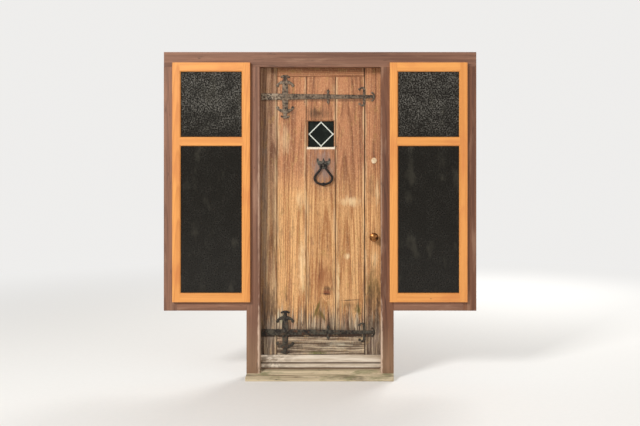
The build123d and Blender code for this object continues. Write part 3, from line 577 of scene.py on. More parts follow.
def iron_shadow_lines(coat):
    """A ragged dark line under each hinge front: painted cast shadow of the iron, which also
    stands for the black stain that wet iron leaves on oak.
    """
    level = coat.shaken(coat.z, coat.drip, 0.012)
    marks = 0.0
    for axis, strength in ((upper_axis, 0.45), (lower_axis, 0.95)):
        off = coat.off(level, axis.z - shadow_line_drop)
        marks = coat.most(marks, coat.span(off, 0.02, 0.011, 0, strength))
    return coat.times(marks, coat.span(coat.x, strap_end + 0.006, strap_end - 0.05))


def oak_marks(coat, knots, stains, splay_highlight):
    """Knots, stains, the dirt at the lower hinge front, a painted shadow line under each hinge
    front that also stands for iron staining, and a painted highlight on the splay.
    """
    for knot_x, knot_z, size in knots:
        heart = coat.spot(knot_x, knot_z, size * 1.5, size, ragged=0.6, soft=0.9)
        coat.glaze((104, 58, 34), heart, 0.85)
    for stain, strength, where in stains:
        streaky = coat.span(coat.streak, 0.3, 0.6, strength * 0.5, strength)
        soaked = coat.times(coat.spot(*where), streaky)
        coat.glaze(stain, coat.math("MINIMUM", soaked, 0.95))
    sooty = coat.spot(lower_axis.x, lower_axis.z, 0.46, 0.044, ragged=0.5, soft=0.8)
    coat.glaze((60, 47, 38), sooty, 0.75)
    # painted cast shadow under each hinge front, also standing for iron staining
    coat.glaze((48, 36, 30), iron_shadow_lines(coat))
    # painted highlight: a pale strip on the splay under the small window, where light falls on it
    if splay_highlight:
        strip = coat.times(coat.band(coat.x, window.x, splay_reach),
                           coat.band(coat.z, splay_level, splay_half))
        strip = coat.times(strip, coat.span(coat.mottle, 0.3, 0.45, 0.5, 1.0))
        coat.glaze((244, 228, 206), strip, 0.9)


print(len(all_joints), "joint lines and two iron marks")


# %% Weathered oak
def oak(name, tint=1.0, grey=0.0, knots=(), stains=(), joints=all_joints, splay_highlight=False):
    """Oak for one piece. A knot is (x, z, size), and a stain is (colour, strength, spot values)."""
    coat = Finish(name)
    grain(coat, knots=knots)
    oak_ground(coat, grey)
    oak_flecks(coat)
    oak_marks(coat, knots, stains, splay_highlight)
    dirty, worn = joint_lines(coat, joints)
    coat.glaze((236, 204, 158), worn, 0.4)
    outside = coat.span(coat.y, 0.1, 0.085)
    coat.colour = coat.mix(outside, coat.mix(coat.tone, *oak_inside), coat.colour)
    coat.glaze((58, 38, 26), dirty, 0.85)
    weathered = coat.times(coat.span(coat.noise((95, 95, 5), 3, 0.6, coat.stick), 0.48, 0.58),
                           coat.span(coat.wet_line, 0.56, 0.34))
    cracked = coat.times(coat.crack, coat.span(coat.wet_line, 1.5, 0.35, 0.35, 1.0))
    cracked = coat.most(cracked, coat.times(weathered, 0.9))
    cracked = coat.times(cracked, coat.span(outside, 0, 1, 0.2, 1.0))
    coat.glaze((66, 45, 32), cracked, 0.8)
    coat.glaze((96, 62, 42), coat.pore, 0.4)
    holes = coat.span(coat.cells(coat.stretch(coat.place, (1, 1, 0.7)), 17), 0.075, 0.045)
    holes = coat.times(holes, coat.span(coat.dusky, 0.45, 0.6))
    coat.glaze((58, 36, 24), holes, 0.8)
    coat.colour = coat.mix(1.0, coat.colour, (tint, tint, tint, 1), "MULTIPLY")
    relief = coat.total((coat.ring, 0.35), (coat.fibre, 0.4), (coat.pore, -0.35), (cracked, -1.3))
    rough = coat.span(outside, 0, 1, 0.45, 0.76)
    return coat.finish(rough, coat.bump(relief, 0.0012, 0.7), Specular_IOR_Level=0.3)


print("oak can be finished")

# %% [markdown]
# Each board has its own tint, knots and stains, so one finish for all would look like wallpaper.
# A table gives them piece by piece. A row of it gives a stain's colour and strength, and then its
# spot: middle, half width and half height in metres, turn, raggedness and softness.

# %% Ease and finish each oak piece
# a black for iron stains, also used as painted shadow under the upper hinge front's cross
iron_black_and_shadow = (58, 48, 42)
wet_brown = (92, 66, 46)
algae = (104, 108, 58)
chalky = (196, 190, 168)
weather_grey = (142, 122, 108)
# a grey wash from iron, also used as painted shade round the knocker
iron_wash_and_shade = (150, 122, 108)
red_brown = (150, 94, 58)
cream = (240, 208, 160)
green_brown = (112, 92, 44)
knot_red = (132, 78, 50)
split_brown = (58, 36, 26)
oak_pieces = {
    "board_left": dict(stains=[
        # painted shadow of the upper hinge front's cross and foot
        (iron_black_and_shadow, 0.5, (-0.236, 1.806, 0.08, 0.026, 0, 0.5)),
        (iron_black_and_shadow, 0.5, (-0.24, 1.768, 0.045, 0.016, 0, 0.5)),
        (chalky, 0.9, (-0.285, 0.405, 0.06, 0.075)), (algae, 0.7, (-0.262, 0.392, 0.036, 0.06)),
        (cream, 0.7, (-0.13, 0.75, 0.03, 0.3)), (wet_brown, 0.6, (-0.3, 1.55, 0.018, 0.36)),
        (cream, 0.5, (-0.14, 1.21, 0.04, 0.09)), (cream, 0.35, (-0.25, 1.62, 0.06, 0.16))]),
    "board_middle": dict(tint=0.94, splay_highlight=True,
                         knots=[(-0.02, 1.805, 0.022), (0.038, 0.573, 0.021)], stains=[
        # round the knocker: iron wash, and painted shade for the knocker's cast shadow
        (iron_wash_and_shade, 1.2, (0.01, 1.44, 0.105, 0.17)), (red_brown, 1.0, (0.015, 0.68, 0.115, 0.15)),
        (wet_brown, 0.9, (-0.02, 1.8, 0.11, 0.065)), (wet_brown, 0.9, (0.05, 0.6, 0.06, 0.03)),
        (knot_red, 1.15, (0.04, 0.575, 0.056, 0.028, 0, 0.45, 0.9)),
        (split_brown, 1.3, (0.04, 0.566, 0.05, 0.0055, 4, 0.5, 0.8)),
        (green_brown, 1.0, (-0.03, 0.455, 0.013, 0.1, 22, 0.7, 0.8)),
        (green_brown, 1.0, (0.012, 0.415, 0.011, 0.055, -30, 0.7, 0.8)),
        (green_brown, 0.7, (-0.005, 0.43, 0.04, 0.05)),
        (wet_brown, 0.6, (-0.085, 0.6, 0.018, 0.24))]),
    "board_right": dict(tint=0.94, knots=[(0.183, 0.826, 0.005)], stains=[
        (cream, 0.9, (0.18, 0.823, 0.032, 0.028)), (cream, 0.7, (0.21, 1.2, 0.11, 0.045)),
        (wet_brown, 1.0, (0.196, 0.523, 0.08, 0.005, -3, 0.5, 0.6)),
        (algae, 0.8, (0.258, 0.46, 0.03, 0.054)), (green_brown, 1.0, (0.256, 0.45, 0.026, 0.048)),
        (wet_brown, 0.7, (0.2, 0.49, 0.075, 0.04)), (cream, 0.7, (0.118, 0.62, 0.014, 0.26))]),
    "hinge_stile": dict(tint=0.78, grey=0.32, stains=[
        (wet_brown, 0.8, (-0.36, 0.5, 0.08, 0.22)), (weather_grey, 0.9, (-0.36, 0.3, 0.07, 0.16)),
        (wet_brown, 0.5, (-0.325, 1.0, 0.016, 0.8)), (wet_brown, 0.9, (-0.325, 0.48, 0.024, 0.2)),
        (weather_grey, 0.8, (-0.385, 1.1, 0.03, 1.0))]),
    "lock_stile": dict(tint=1.02, stains=[
        (green_brown, 0.9, (0.355, 0.6, 0.08, 0.17)), (wet_brown, 1.1, (0.36, 0.5, 0.075, 0.2)),
        (iron_black_and_shadow, 0.8, (0.36, 0.36, 0.07, 0.12)),
        (weather_grey, 0.8, (0.37, 0.24, 0.06, 0.13)),
        (wet_brown, 0.6, (0.345, 1.3, 0.035, 0.13)), (cream, 0.7, (0.385, 1.27, 0.018, 0.13)),
        (cream, 0.6, (0.37, 0.8, 0.03, 0.08))]),
    "leaf_top_rail": dict(tint=0.9, joints=stile_joints),
    "leaf_bottom_rail": dict(grey=1.0, joints=stile_joints, stains=[
        (algae, 1.0, (-0.03, 0.157, 0.1, 0.027)),
        (iron_black_and_shadow, 0.9, (-0.22, 0.19, 0.15, 0.07)),
        (wet_brown, 0.8, (0.1, 0.26, 0.3, 0.016)), (chalky, 0.5, (0.12, 0.215, 0.15, 0.03)),
        # a dark line along the foot of the rail, just above the weather bar
        (wet_brown, 1.1, (0.0, 0.145, 0.45, 0.012, 0, 0.4, 0.8))]),
    "upper_ledge": dict(joints=()),
    "middle_ledge": dict(joints=()),
    "vision_frame": dict(joints=())}
oak_arris = 0.0012
finer_arris = {"board_right": 0.0005}  # a nail goes through the edge of its V joint
nail_hole_edge = 0.015
for node, look in oak_pieces.items():
    eased(node, finer_arris.get(node, oak_arris), oak("oak_" + node, **look),
          shortest=nail_hole_edge if "board" in node else 0)
print(len(oak_pieces), "oak pieces")

# %% [markdown]
# The frame has a brown stain that the sun has faded to a dusty purple brown. The sashes have a
# newer orange stain with a satin sheen, so their grain is softer and their surface smoother. Both
# use the same grain, and the rails need no turning because each stick knows its own length.

# %% Stained frame and sashes
worn_width = 0.004
worn_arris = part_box("mullion_right")[0].x + worn_width
frame_arris, sash_arris, sill_arris = 0.002, 0.0012, 0.003


def stained_frame(name, light, dark):
    """Brown stained softwood, with its arris beside the leaf worn bare."""
    coat = Finish(name)
    grain(coat, ring_width=0.007, wander=0.012)
    stained_ground(coat, 0.3, light, dark)
    worn = coat.noise((22, 22, 3), 4, 0.6, coat.stick)
    coat.glaze(coat.mix(0.6, light, (176, 142, 118)), coat.span(worn, 0.52, 0.72), 0.5)
    splashed = coat.span(coat.plus(coat.z, coat.times(worn, 0.3)), 0.6, 0.25)
    coat.glaze((142, 112, 84), splashed, 0.6)
    for side in (-1, 1):
        bare = coat.spot(side * worn_arris, 0.2, 0.013, 0.42, 0, 0.8, 0.8)
        coat.glaze((212, 184, 160), bare, 0.8)
        rubbed = coat.spot(side * worn_arris, 1.25, 0.009, 0.75, 0, 0.9, 0.9)
        coat.glaze((190, 160, 136), rubbed, 0.55)
    coat.glaze((52, 34, 26), coat.crack, 0.5)
    coat.glaze((80, 56, 44), coat.pore, 0.25)
    relief = coat.total((coat.fibre, 0.5), (coat.crack, -1.0))
    rough = coat.span(worn, 0.3, 0.7, 0.5, 0.72)
    return coat.finish(rough, coat.bump(relief, 0.0007, 0.6), Specular_IOR_Level=0.4)


def stained_sash(name):
    """Softwood under an orange stain, with a satin sheen and one drip mark."""
    coat = Finish(name)
    grain(coat, ring_width=0.006, wander=0.008)
    stained_ground(coat, 0.45, (232, 160, 82), (196, 120, 52))
    cloud = coat.noise((9, 9, 3), 3, vector=coat.stick)
    coat.glaze((196, 114, 52), coat.span(cloud, 0.45, 0.72, 0, 0.55))
    coat.glaze((150, 84, 36), coat.pore, 0.2)
    drip_mark = coat.spot(0.748, 0.549, 0.011, 0.006, ragged=0.5)
    coat.glaze((122, 70, 30), drip_mark, 0.8)
    relief = coat.total((coat.fibre, 0.5), (coat.ring, 0.2))
    rough = coat.span(cloud, 0.3, 0.7, 0.36, 0.5)
    return coat.finish(rough, coat.bump(relief, 0.0004, 0.5), Coat_Weight=0.25, Coat_Roughness=0.35,
                       Specular_IOR_Level=0.45)


faded_stain = stained_frame("faded_brown_stain", (144, 103, 80), (92, 58, 42))
deep_stain = stained_frame("deep_brown_stain", (126, 82, 56), (78, 45, 30))
deep_pieces = ("mullion_right", "jamb_right")
sash_finish = stained_sash("orange_stain")
for node, slot in slot_of.items():
    if slot == "frame_timber":
        eased(node, frame_arris, deep_stain if node in deep_pieces else faded_stain)
    elif slot == "sash_timber":
        eased(node, sash_arris, sash_finish)
print("frame and sashes stained")

# %% [markdown]
# The sill is bare wood. Sun and rain have bleached it to a beige grey, with green algae where
# water stands and dark dirt in its cracks.


# %% Bare sill
def bare_sill():
    coat = Finish("bare_sill")
    grain(coat, ring_width=0.01)
    stained_ground(coat, 0.4, (228, 210, 176), (138, 120, 94))
    damp = coat.noise((7, 14, 14), 4, 0.6)
    coat.glaze((122, 122, 84), coat.span(damp, 0.5, 0.72, 0, 0.75))
    dirt = coat.noise((5, 20, 20), 5, 0.65)
    coat.glaze((92, 80, 62), coat.span(dirt, 0.52, 0.7), 0.7)
    back = coat.span(coat.y, 0.035, 0.06)
    coat.glaze((88, 78, 62), back, 0.5)
    coat.glaze((60, 50, 38), coat.crack, 0.7)
    relief = coat.total((coat.ring, 0.4), (coat.fibre, 0.4), (coat.crack, -1.2))
    return coat.finish(0.8, coat.bump(relief, 0.0014, 0.8), Specular_IOR_Level=0.25)


eased("sill", sill_arris, bare_sill())
print("sill weathered")

# %% [markdown]
# The hinge fronts, the knocker and its plate are forged: heated, hammered and cut, so no edge is
# square and no face is flat. Each is remade from small cubes, smoothed until its edges round
# over, and dented with a soft noise. The nails go through the same holes as before.

# %% Forged iron
leaf_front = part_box("hinge_stile")[0].y
# painted shade on the sides of the iron, next to the oak
contact_shade_band = (leaf_front - 0.0042, leaf_front - 0.0022)  # where the iron darkens towards the oak


def iron(name, dusty, dark, rust=0.35, hinge_end_highlight=0.0):
    """Black iron under dust and rust. A painted highlight makes the end near the hinges the
    palest.
    """
    coat = Finish(name)
    dust = coat.noise(70, 4, 0.65)
    pitted = coat.noise(700, 3, 0.6)
    patina = coat.total((dust, 0.6), (coat.noise(17, 3, 0.6), 0.4))
    coat.colour = coat.mix(coat.span(patina, 0.4, 0.62), dark, dusty)
    # painted highlight on the dust at the hinge end
    end_highlight = coat.times(coat.span(coat.x, -0.2, -0.38, 0, hinge_end_highlight), coat.span(dust, 0.4, 0.6))
    coat.glaze((182, 164, 140), end_highlight)
    coat.glaze(dark, coat.span(pitted, 0.5, 0.66, 0, 0.4))
    rusty = coat.noise(38, 5, 0.7)
    coat.glaze((112, 66, 38), coat.span(rusty, 0.54, 0.7), rust)
    # painted shade on the sides of the iron, next to the oak
    coat.glaze((40, 32, 26), coat.span(coat.y, *contact_shade_band), 0.8)
    relief = coat.total((coat.dimples(95, 60, 0.01), 0.9), (pitted, 0.25))
    rough = coat.span(dust, 0.3, 0.7, 0.46, 0.72)
    return coat.finish(rough, coat.bump(relief, 0.0012, 0.7), Metallic=0.2, Specular_IOR_Level=0.3)


def forged(node, material, cell=0.0018, dent=0.0004, passes=3, swell=0.0, below=inf):
    """A piece with rounded edges and dents, made from small cubes and smoothed. Smoothing wears
    thin parts away, so the outline is swelled again below a level."""
    mesh = copy_of(node)
    data = bpy.data.meshes.new(node + "_rough")
    mesh.to_mesh(data)
    mesh.free()
    rough = bpy.data.objects.new(node + "_rough", data)
    bpy.context.scene.collection.objects.link(rough)
    cubes = rough.modifiers.new("cubes", "REMESH")
    cubes.mode = "VOXEL"
    cubes.voxel_size = cell
    round_over = rough.modifiers.new("round", "SMOOTH")
    round_over.factor = 0.5
    round_over.iterations = passes
    evaluated = rough.evaluated_get(bpy.context.evaluated_depsgraph_get())
    mesh = bmesh.new()
    mesh.from_mesh(evaluated.to_mesh())
    evaluated.to_mesh_clear()
    bpy.data.objects.remove(rough)
    for vert in mesh.verts:
        sideways = Vector((vert.normal.x, 0, vert.normal.z)) * (swell if vert.co.z < below else 0)
        vert.co += vert.normal * (noise.noise(vert.co * 75) * dent - dent * 0.6) + sideways
    stand_in(mesh, node + "_forged", node, material, smooth=True)


upper_iron = iron("dusty_iron", (132, 113, 93), (50, 40, 32), hinge_end_highlight=0.75)
lower_iron = iron("damp_iron", (84, 78, 66), (34, 28, 24), rust=0.5)
plate_iron = iron("grey_iron", (112, 106, 94), (40, 35, 31), rust=0.3)
ring_iron = iron("black_iron", (52, 44, 38), (18, 15, 13), rust=0.2)
ring_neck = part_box("knocker_ring")[1].z - 0.035  # above this the ring turns in its eye
forged("strap_upper", upper_iron, swell=0.0013)
forged("strap_lower", lower_iron, swell=0.0013)
forged("knocker_plate", plate_iron, cell=0.001, dent=0.0003, passes=2)
forged("knocker_ring", ring_iron, cell=0.0011, dent=0.0006, passes=2, swell=0.001, below=ring_neck)
print("hinge fronts and knocker forged")

# %% [markdown]
# The other metal is worn brass, plated steel, bronze, bronze lacquer and dull aluminium. Metal
# takes its life from uneven roughness: fingers polish some places, and dirt dulls others. The
# cases of the night latch and the weather bar get eased edges too. The rest keeps its solid.

# %% Metal, rubber and lead
groove_level = 0.097  # the groove along the front of the weather bar
case_arris = 0.0006  # fine, because the keep's rim is thin
bar_arris = 0.0004


def metal(name, light, dark, rough, scale=60.0, metallic=1.0):
    """Metal with clouds in its colour and polish, and fine scratches."""
    coat = Finish(name)
    cloud = coat.noise(scale, 4, 0.6)
    coat.colour = coat.mix(coat.span(cloud, 0.3, 0.7), light, dark)
    scratches = coat.noise((40, 900, 900), 3)
    uneven = coat.span(cloud, 0.3, 0.7, rough, rough + 0.15)
    return coat.finish(uneven, coat.bump(scratches, 0.0004, 0.35), Metallic=metallic)


def weather_bar():
    """Dull aluminium: dirt gathers towards the ends, and painted shade darkens the groove and
    the foot.
    """
    coat = Finish("dull_aluminium")
    smear = coat.noise((4, 30, 45), 5, 0.6)
    blotch = coat.noise((26, 40, 40), 4, 0.6)
    coat.colour = coat.mix(coat.span(smear, 0.3, 0.7), (242, 229, 211), (192, 174, 152))
    end = coat.span(coat.off(coat.x, 0.1), 0.2, 0.52)
    coat.glaze((112, 92, 72), coat.times(end, coat.span(blotch, 0.42, 0.56)), 0.75)
    # painted shade in the groove along the front
    coat.glaze((84, 66, 54), coat.band(coat.z, groove_level, 0.004, 0.0025), 0.85)
    # painted shade along the foot of the bar
    under = coat.span(coat.plus(coat.z, coat.times(blotch, -0.006)), 0.068, 0.062)
    coat.glaze((90, 74, 60), under, 0.7)
    rough = coat.span(smear, 0.3, 0.7, 0.36, 0.6)
    return coat.finish(rough, coat.bump(blotch, 0.0006, 0.5), Metallic=0.5)


def plain_finish(name, light, dark, rough, scale=90.0):
    """Two close colours in soft clouds, for rubber and lead."""
    coat = Finish(name)
    cloud = coat.noise(scale, 4, 0.6)
    coat.colour = coat.mix(cloud, light, dark)
    return coat.finish(rough, coat.bump(cloud, 0.0003, 0.6))


brass = metal("worn_brass", (255, 234, 200), (224, 186, 140), 0.34, metallic=0.6)
aged_brass = metal("aged_brass", (206, 162, 106), (140, 98, 56), 0.32, metallic=0.8)
bronze = metal("handled_bronze", (166, 112, 66), (62, 36, 20), 0.26, scale=35)
steel = metal("plated_steel", (186, 184, 178), (140, 138, 132), 0.3)
lacquer = metal("bronze_lacquer", (104, 88, 68), (72, 58, 44), 0.34, metallic=0.6)
rubber = plain_finish("black_rubber", (38, 37, 36), (26, 26, 26), 0.7)
finish_of = {"knocker_stud": ring_iron, "outer_knob": bronze, "inner_knob": bronze,
             "outer_rose": aged_brass, "inner_rose": aged_brass}
finish_by_slot = {"brass": brass, "steel": steel, "iron": upper_iron, "rubber": rubber}
for node in ("night_latch_case", "night_keep", "night_knob"):
    eased(node, case_arris, lacquer)
eased("threshold_bar", bar_arris, weather_bar(), segments=1)
print("metals finished")

# %% [markdown]
# The side windows have obscured glass: the back is pressed with small dimples, so that light
# comes in and a view doesn't. The room behind is dark, and so is the glass. The pane in the leaf
# is clear.


# %% Glass
def dark_glass(name, tone, dimple, size, rough, pale):
    """Glass before a dark room. Its dimples catch the sky more towards the top."""
    coat = Finish(name)
    smear = coat.noise((9, 9, 4), 4, 0.6)
    sky = coat.span(coat.plus(coat.z, coat.times(smear, 0.3)), 1.65, 2.05, 0.1, 1.0)
    drifting = coat.span(coat.noise(11, 3, 0.6), 0.38, 0.62, 0.55, 1.3)
    worm = coat.noise(size * 1.1, 3, 0.65)
    sparkle = coat.times(coat.span(worm, 0.46, 0.62), coat.times(sky, drifting))
    coat.colour = coat.mix(sparkle, tone, pale)
    coat.glaze((74, 70, 60), coat.span(smear, 0.56, 0.7), 0.3)
    relief = coat.bump(coat.dimples(size, 40, 0.02), dimple, coat.span(sky, 0, 1, 0.15, 0.8))
    return coat.finish(rough, relief, Specular_IOR_Level=0.2, Transmission_Weight=0.04, IOR=1.5)


finish_by_slot["obscured_glass"] = dark_glass(
    "obscured_glass", (23, 20, 15), 0.0016, 95, 0.22, (98, 95, 88))
finish_by_slot["clear_glass"] = dark_glass(
    "clear_glass", (20, 24, 20), 0.0001, 20, 0.05, (34, 40, 34))
print("glass finished")

# %% [markdown]
# Screws, pins and nails repeat, so each kind is one small tree of geometry nodes: a head is built
# once, set on every point that it is given, and made real. Screws and nails also turn at random
# about the direction that each point carries, because no fitter leaves two of them alike.


# %% The start and end of a tree for fasteners
def new_tree(name, **sizes):
    """A geometry tree with a named input for each size and for the material, and those inputs."""
    tree = bpy.data.node_groups.new(name, "GeometryNodeTree")
    tree.interface.new_socket("Geometry", in_out="INPUT", socket_type="NodeSocketGeometry")
    for label, value in sizes.items():
        kind = "NodeSocketInt" if isinstance(value, int) else "NodeSocketFloat"
        tree.interface.new_socket(label, in_out="INPUT", socket_type=kind).default_value = value
    tree.interface.new_socket("Material", in_out="INPUT", socket_type="NodeSocketMaterial")
    tree.interface.new_socket("Geometry", in_out="OUTPUT", socket_type="NodeSocketGeometry")
    return tree, tree.nodes.new("NodeGroupInput").outputs


def made_real(tree, given, geometry):
    """Ends a tree: what was set on points is made real and gets the material."""
    real = wire(tree, "GeometryNodeRealizeInstances", {"Geometry": geometry})
    painted = wire(tree, "GeometryNodeSetMaterial",
                   {"Geometry": real, "Material": given["Material"]})
    feed(tree, tree.nodes.new("NodeGroupOutput").inputs[0], painted)
    return tree


def on_every_point(tree, given, head):
    """Sets a head on each point, along its facing and at a random turn, and ends the tree."""
    facing = wire(tree, "GeometryNodeInputNamedAttribute", {"Name": "facing"},
                  data_type="FLOAT_VECTOR")
    aligned = wire(tree, "FunctionNodeAlignRotationToVector", {"Vector": facing}, axis="Z")
    turn = wire(tree, "FunctionNodeRandomValue", {2: 0, 3: 2 * pi, "Seed": given["Seed"]}, 1,
                data_type="FLOAT")
    spin = wire(tree, "FunctionNodeAxisAngleToRotation", {"Axis": (0, 0, 1), "Angle": turn})
    turned = wire(tree, "FunctionNodeRotateRotation", {"Rotation": aligned, "Rotate By": spin},
                  rotation_space="LOCAL")
    placed = wire(tree, "GeometryNodeInstanceOnPoints",
                  {"Points": given["Geometry"], "Instance": head, "Rotation": turned})
    return made_real(tree, given, placed)


def run_tree(data, tree, body, material, sizes):
    """Runs a tree on a mesh, and keeps the result as a plain mesh with one material, on a body."""
    piece = bpy.data.objects.new(data.name, data)
    bpy.context.scene.collection.objects.link(piece)
    run = piece.modifiers.new("grow", "NODES")
    run.node_group = tree
    values = {**sizes, "Material": material}
    for socket in tree.interface.items_tree:
        if socket.name in values:
            run[socket.identifier] = values[socket.name]
    evaluated = piece.evaluated_get(bpy.context.evaluated_depsgraph_get())
    piece.data = bpy.data.meshes.new_from_object(evaluated)
    piece.modifiers.clear()
    piece.data.materials.clear()
    piece.data.materials.append(material)
    piece.data.polygons.foreach_set("material_index", [0] * len(piece.data.polygons))
    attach(piece, body)
    print(piece.name, len(piece.data.polygons), "faces")
    return piece


print("trees can be started, ended and run")


# %% Screw heads and rose nails
def screw_tree():
    """A low raised head with a crossed recess."""
    tree, given = new_tree("screw_heads", Radius=0.003, Height=0.001, Recess=0.0008, Seed=3)
    radius, height, recess = given["Radius"], given["Height"], given["Recess"]
    rim = wire(tree, "ShaderNodeMath", {0: radius, 1: 0.72}, operation="MULTIPLY")
    cone = wire(tree, "GeometryNodeMeshCone",
                {"Vertices": 20, "Radius Top": rim, "Radius Bottom": radius, "Depth": height})
    length = wire(tree, "ShaderNodeMath", {0: radius, 1: 1.05}, operation="MULTIPLY")
    lift = wire(tree, "ShaderNodeCombineXYZ", {2: height})
    bars = []
    for long, wide in ((length, recess), (recess, length)):
        size = wire(tree, "ShaderNodeCombineXYZ", {0: long, 1: wide, 2: height})
        bar = wire(tree, "GeometryNodeMeshCube", {"Size": size})
        bars.append(wire(tree, "GeometryNodeTransform", {"Geometry": bar, "Translation": lift}))
    cross = wire(tree, "GeometryNodeJoinGeometry", {0: bars})
    head = wire(tree, "GeometryNodeMeshBoolean",
                {"Mesh 1": cone, "Mesh 2": cross, "Self Intersection": True},
                operation="DIFFERENCE", solver="EXACT")
    return on_every_point(tree, given, head)


def rose_nail_tree():
    """A hand forged nail: a square shank under a head of a few hammered facets."""
    tree, given = new_tree("rose_nails", Radius=0.0075, Tip=0.0012, Height=0.004, Shank=0.005,
                           Length=0.018, Seed=5)
    facets = wire(tree, "GeometryNodeMeshCone",
                  {"Vertices": 5, "Side Segments": 2, "Radius Top": given["Tip"],
                   "Radius Bottom": given["Radius"], "Depth": given["Height"]})
    size = wire(tree, "ShaderNodeCombineXYZ",
                {0: given["Shank"], 1: given["Shank"], 2: given["Length"]})
    shank = wire(tree, "GeometryNodeMeshCube", {"Size": size})
    half = wire(tree, "ShaderNodeMath", {0: given["Length"], 1: -0.5}, operation="MULTIPLY")
    drop = wire(tree, "ShaderNodeCombineXYZ", {2: half})
    low = wire(tree, "GeometryNodeTransform", {"Geometry": shank, "Translation": drop})
    return on_every_point(tree, given, wire(tree, "GeometryNodeJoinGeometry", {0: [facets, low]}))


def grown(name, tree, places, body, material, slot, **sizes):
    """Runs a tree on points that face a way each."""
    data = bpy.data.meshes.new(name)
    data.from_pydata([place for place, _ in places], [], [])
    facing = data.attributes.new("facing", "FLOAT_VECTOR", "POINT")
    for row, (_, way) in zip(facing.data, places):
        row.vector = way
    return run_tree(data, tree, body, material, sizes)


screws = screw_tree()
rose_nails = rose_nail_tree()
print("two kinds of fastener")

# %% [markdown]
# Where the fasteners sit is read from the solids, so that they follow them. A solid that holds
# several pieces is first split into its islands, such as the three flaps of the hinges. Each kind
# of plate has its own usual pattern of screws.

# %% Patterns of screws
OUT, IN, LEFT, RIGHT, UP = (0, -1, 0), (0, 1, 0), (-1, 0, 0), (1, 0, 0), (0, 0, 1)
flap_width = 0.035
rose_circle = 0.016
ledge_spread, ledge_stagger = 0.045, 0.22


def solids_of(node):
    """Lowest and highest corner of each separate solid of a node, from the bottom up."""
    mesh = copy_of(node)
    boxes = [corners(group) for group in islands(mesh)]
    mesh.free()
    return sorted(boxes, key=lambda box: (round(box[0].z, 4), round(box[0].x, 4)))


def flap_screws(node, face, way):
    """Four screws in each hinge flap, in two staggered rows."""
    return [((face, low.y + flap_width * row, low.z + (high.z - low.z) * share), way)
            for low, high in solids_of(node)
            for share, row in ((0.12, 0.3), (0.37, 0.62), (0.63, 0.62), (0.88, 0.3))]


def pair_up(node, inset, way, x, y=None):
    """Two screws near the top and the foot of a plate, halfway into its depth or at y."""
    low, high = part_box(node)
    depth = middle_of(node).y if y is None else y
    return [((x, depth, z), way) for z in (low.z + inset, high.z - inset)]


def rose_screws(node, face, way):
    """Three screws round a rose."""
    middle = middle_of(node)
    return [((middle.x + rose_circle * cos(radians(a)), face,
              middle.z + rose_circle * sin(radians(a))), way) for a in (90, 210, 330)]


def ledge_screws(ledge):
    """Two screws through a ledge into each board, one above the other and set apart."""
    low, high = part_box(ledge)
    middles = [middle_of(board).x for board in ("board_left", "board_middle", "board_right")]
    return [((x + side * ledge_spread, high.y,
              low.z + (high.z - low.z) * (0.5 - side * ledge_stagger)), IN)
            for x in middles for side in (-1, 1)]


print("screw patterns are ready")

# %% Set the screws
rebate_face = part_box("strike_plate")[0].x
leaf_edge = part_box("hinge_stile")[0].x
proud = 0.0005
case_low, case_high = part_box("night_latch_case")
keep_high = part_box("night_keep")[1]
case_margin = 0.01
frame_places = flap_screws("frame_hinge_flaps", proud - rebate_face, RIGHT)
frame_places += pair_up("strike_plate", 0.009, LEFT, rebate_face)
frame_places += pair_up("night_keep", 0.011, IN, keep_high.x - case_margin, keep_high.y)
leaf_places = flap_screws("leaf_hinge_flaps", leaf_edge - proud, LEFT)
leaf_places += pair_up("latch_case", 0.008, RIGHT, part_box("latch_case")[1].x)
leaf_places += pair_up("night_latch_case", case_margin, IN, case_low.x + case_margin, case_high.y)
bar_low, bar_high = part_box("threshold_bar")
bar_foot = 0.004  # the thickness of the bar's foot, which the screws go through
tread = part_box("threshold_board")[1].z + bar_foot
bar_places = [((bar_low.x + (bar_high.x - bar_low.x) * share, bar_high.y - 0.016, tread), UP)
              for share in (0.06, 0.28, 0.5, 0.72, 0.94)]
rose_places = rose_screws("outer_rose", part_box("outer_rose")[0].y, OUT)
rose_places += rose_screws("inner_rose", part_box("inner_rose")[1].y, IN)
ledge_places = ledge_screws("upper_ledge") + ledge_screws("middle_ledge")
grown("frame_hinge_screws", screws, frame_places, "frame", steel, "steel", Radius=0.0038)
grown("threshold_screws", screws, bar_places, "frame", steel, "aluminium", Radius=0.0042)
grown("leaf_hinge_screws", screws, leaf_places, "leaf", steel, "steel", Radius=0.0038)
grown("rose_screws", screws, rose_places, "leaf", aged_brass, "brass", Radius=0.0028, Height=0.0008)
grown("ledge_screws", screws, ledge_places, "leaf", steel, "steel", Radius=0.0042)

# %% [markdown]
# Rose nails hold the hinge fronts. A smith draws each one out by hand and closes its head with
# four or five blows, so the heads catch the light in facets. They stand in the same holes as the
# solids' nails.

# %% Set the nails
nail_depth = 0.018
between_hinges = 1.0
nail_places = [(((low.x + high.x) / 2, high.y - nail_depth, (low.z + high.z) / 2), OUT)
               for low, high in solids_of("strap_nails")]
upper_nails = [place for place in nail_places if place[0][2] > between_hinges]
lower_nails = [place for place in nail_places if place[0][2] < between_hinges]
for name, places, material in (("upper_nails", upper_nails, upper_iron),
                               ("lower_nails", lower_nails, lower_iron)):
    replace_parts(grown(name, rose_nails, places, "leaf", material, "iron"), "strap_nails")
print(len(upper_nails), "nails above,", len(lower_nails), "below")

# %% [markdown]
# Glazing beads are held by small pins, one every hand's breadth along them. Here the nodes do the
# counting: a line along each bead is resampled at an even pitch, and a head goes on every point.
# The frame that holds the small pane is pinned in the same way.


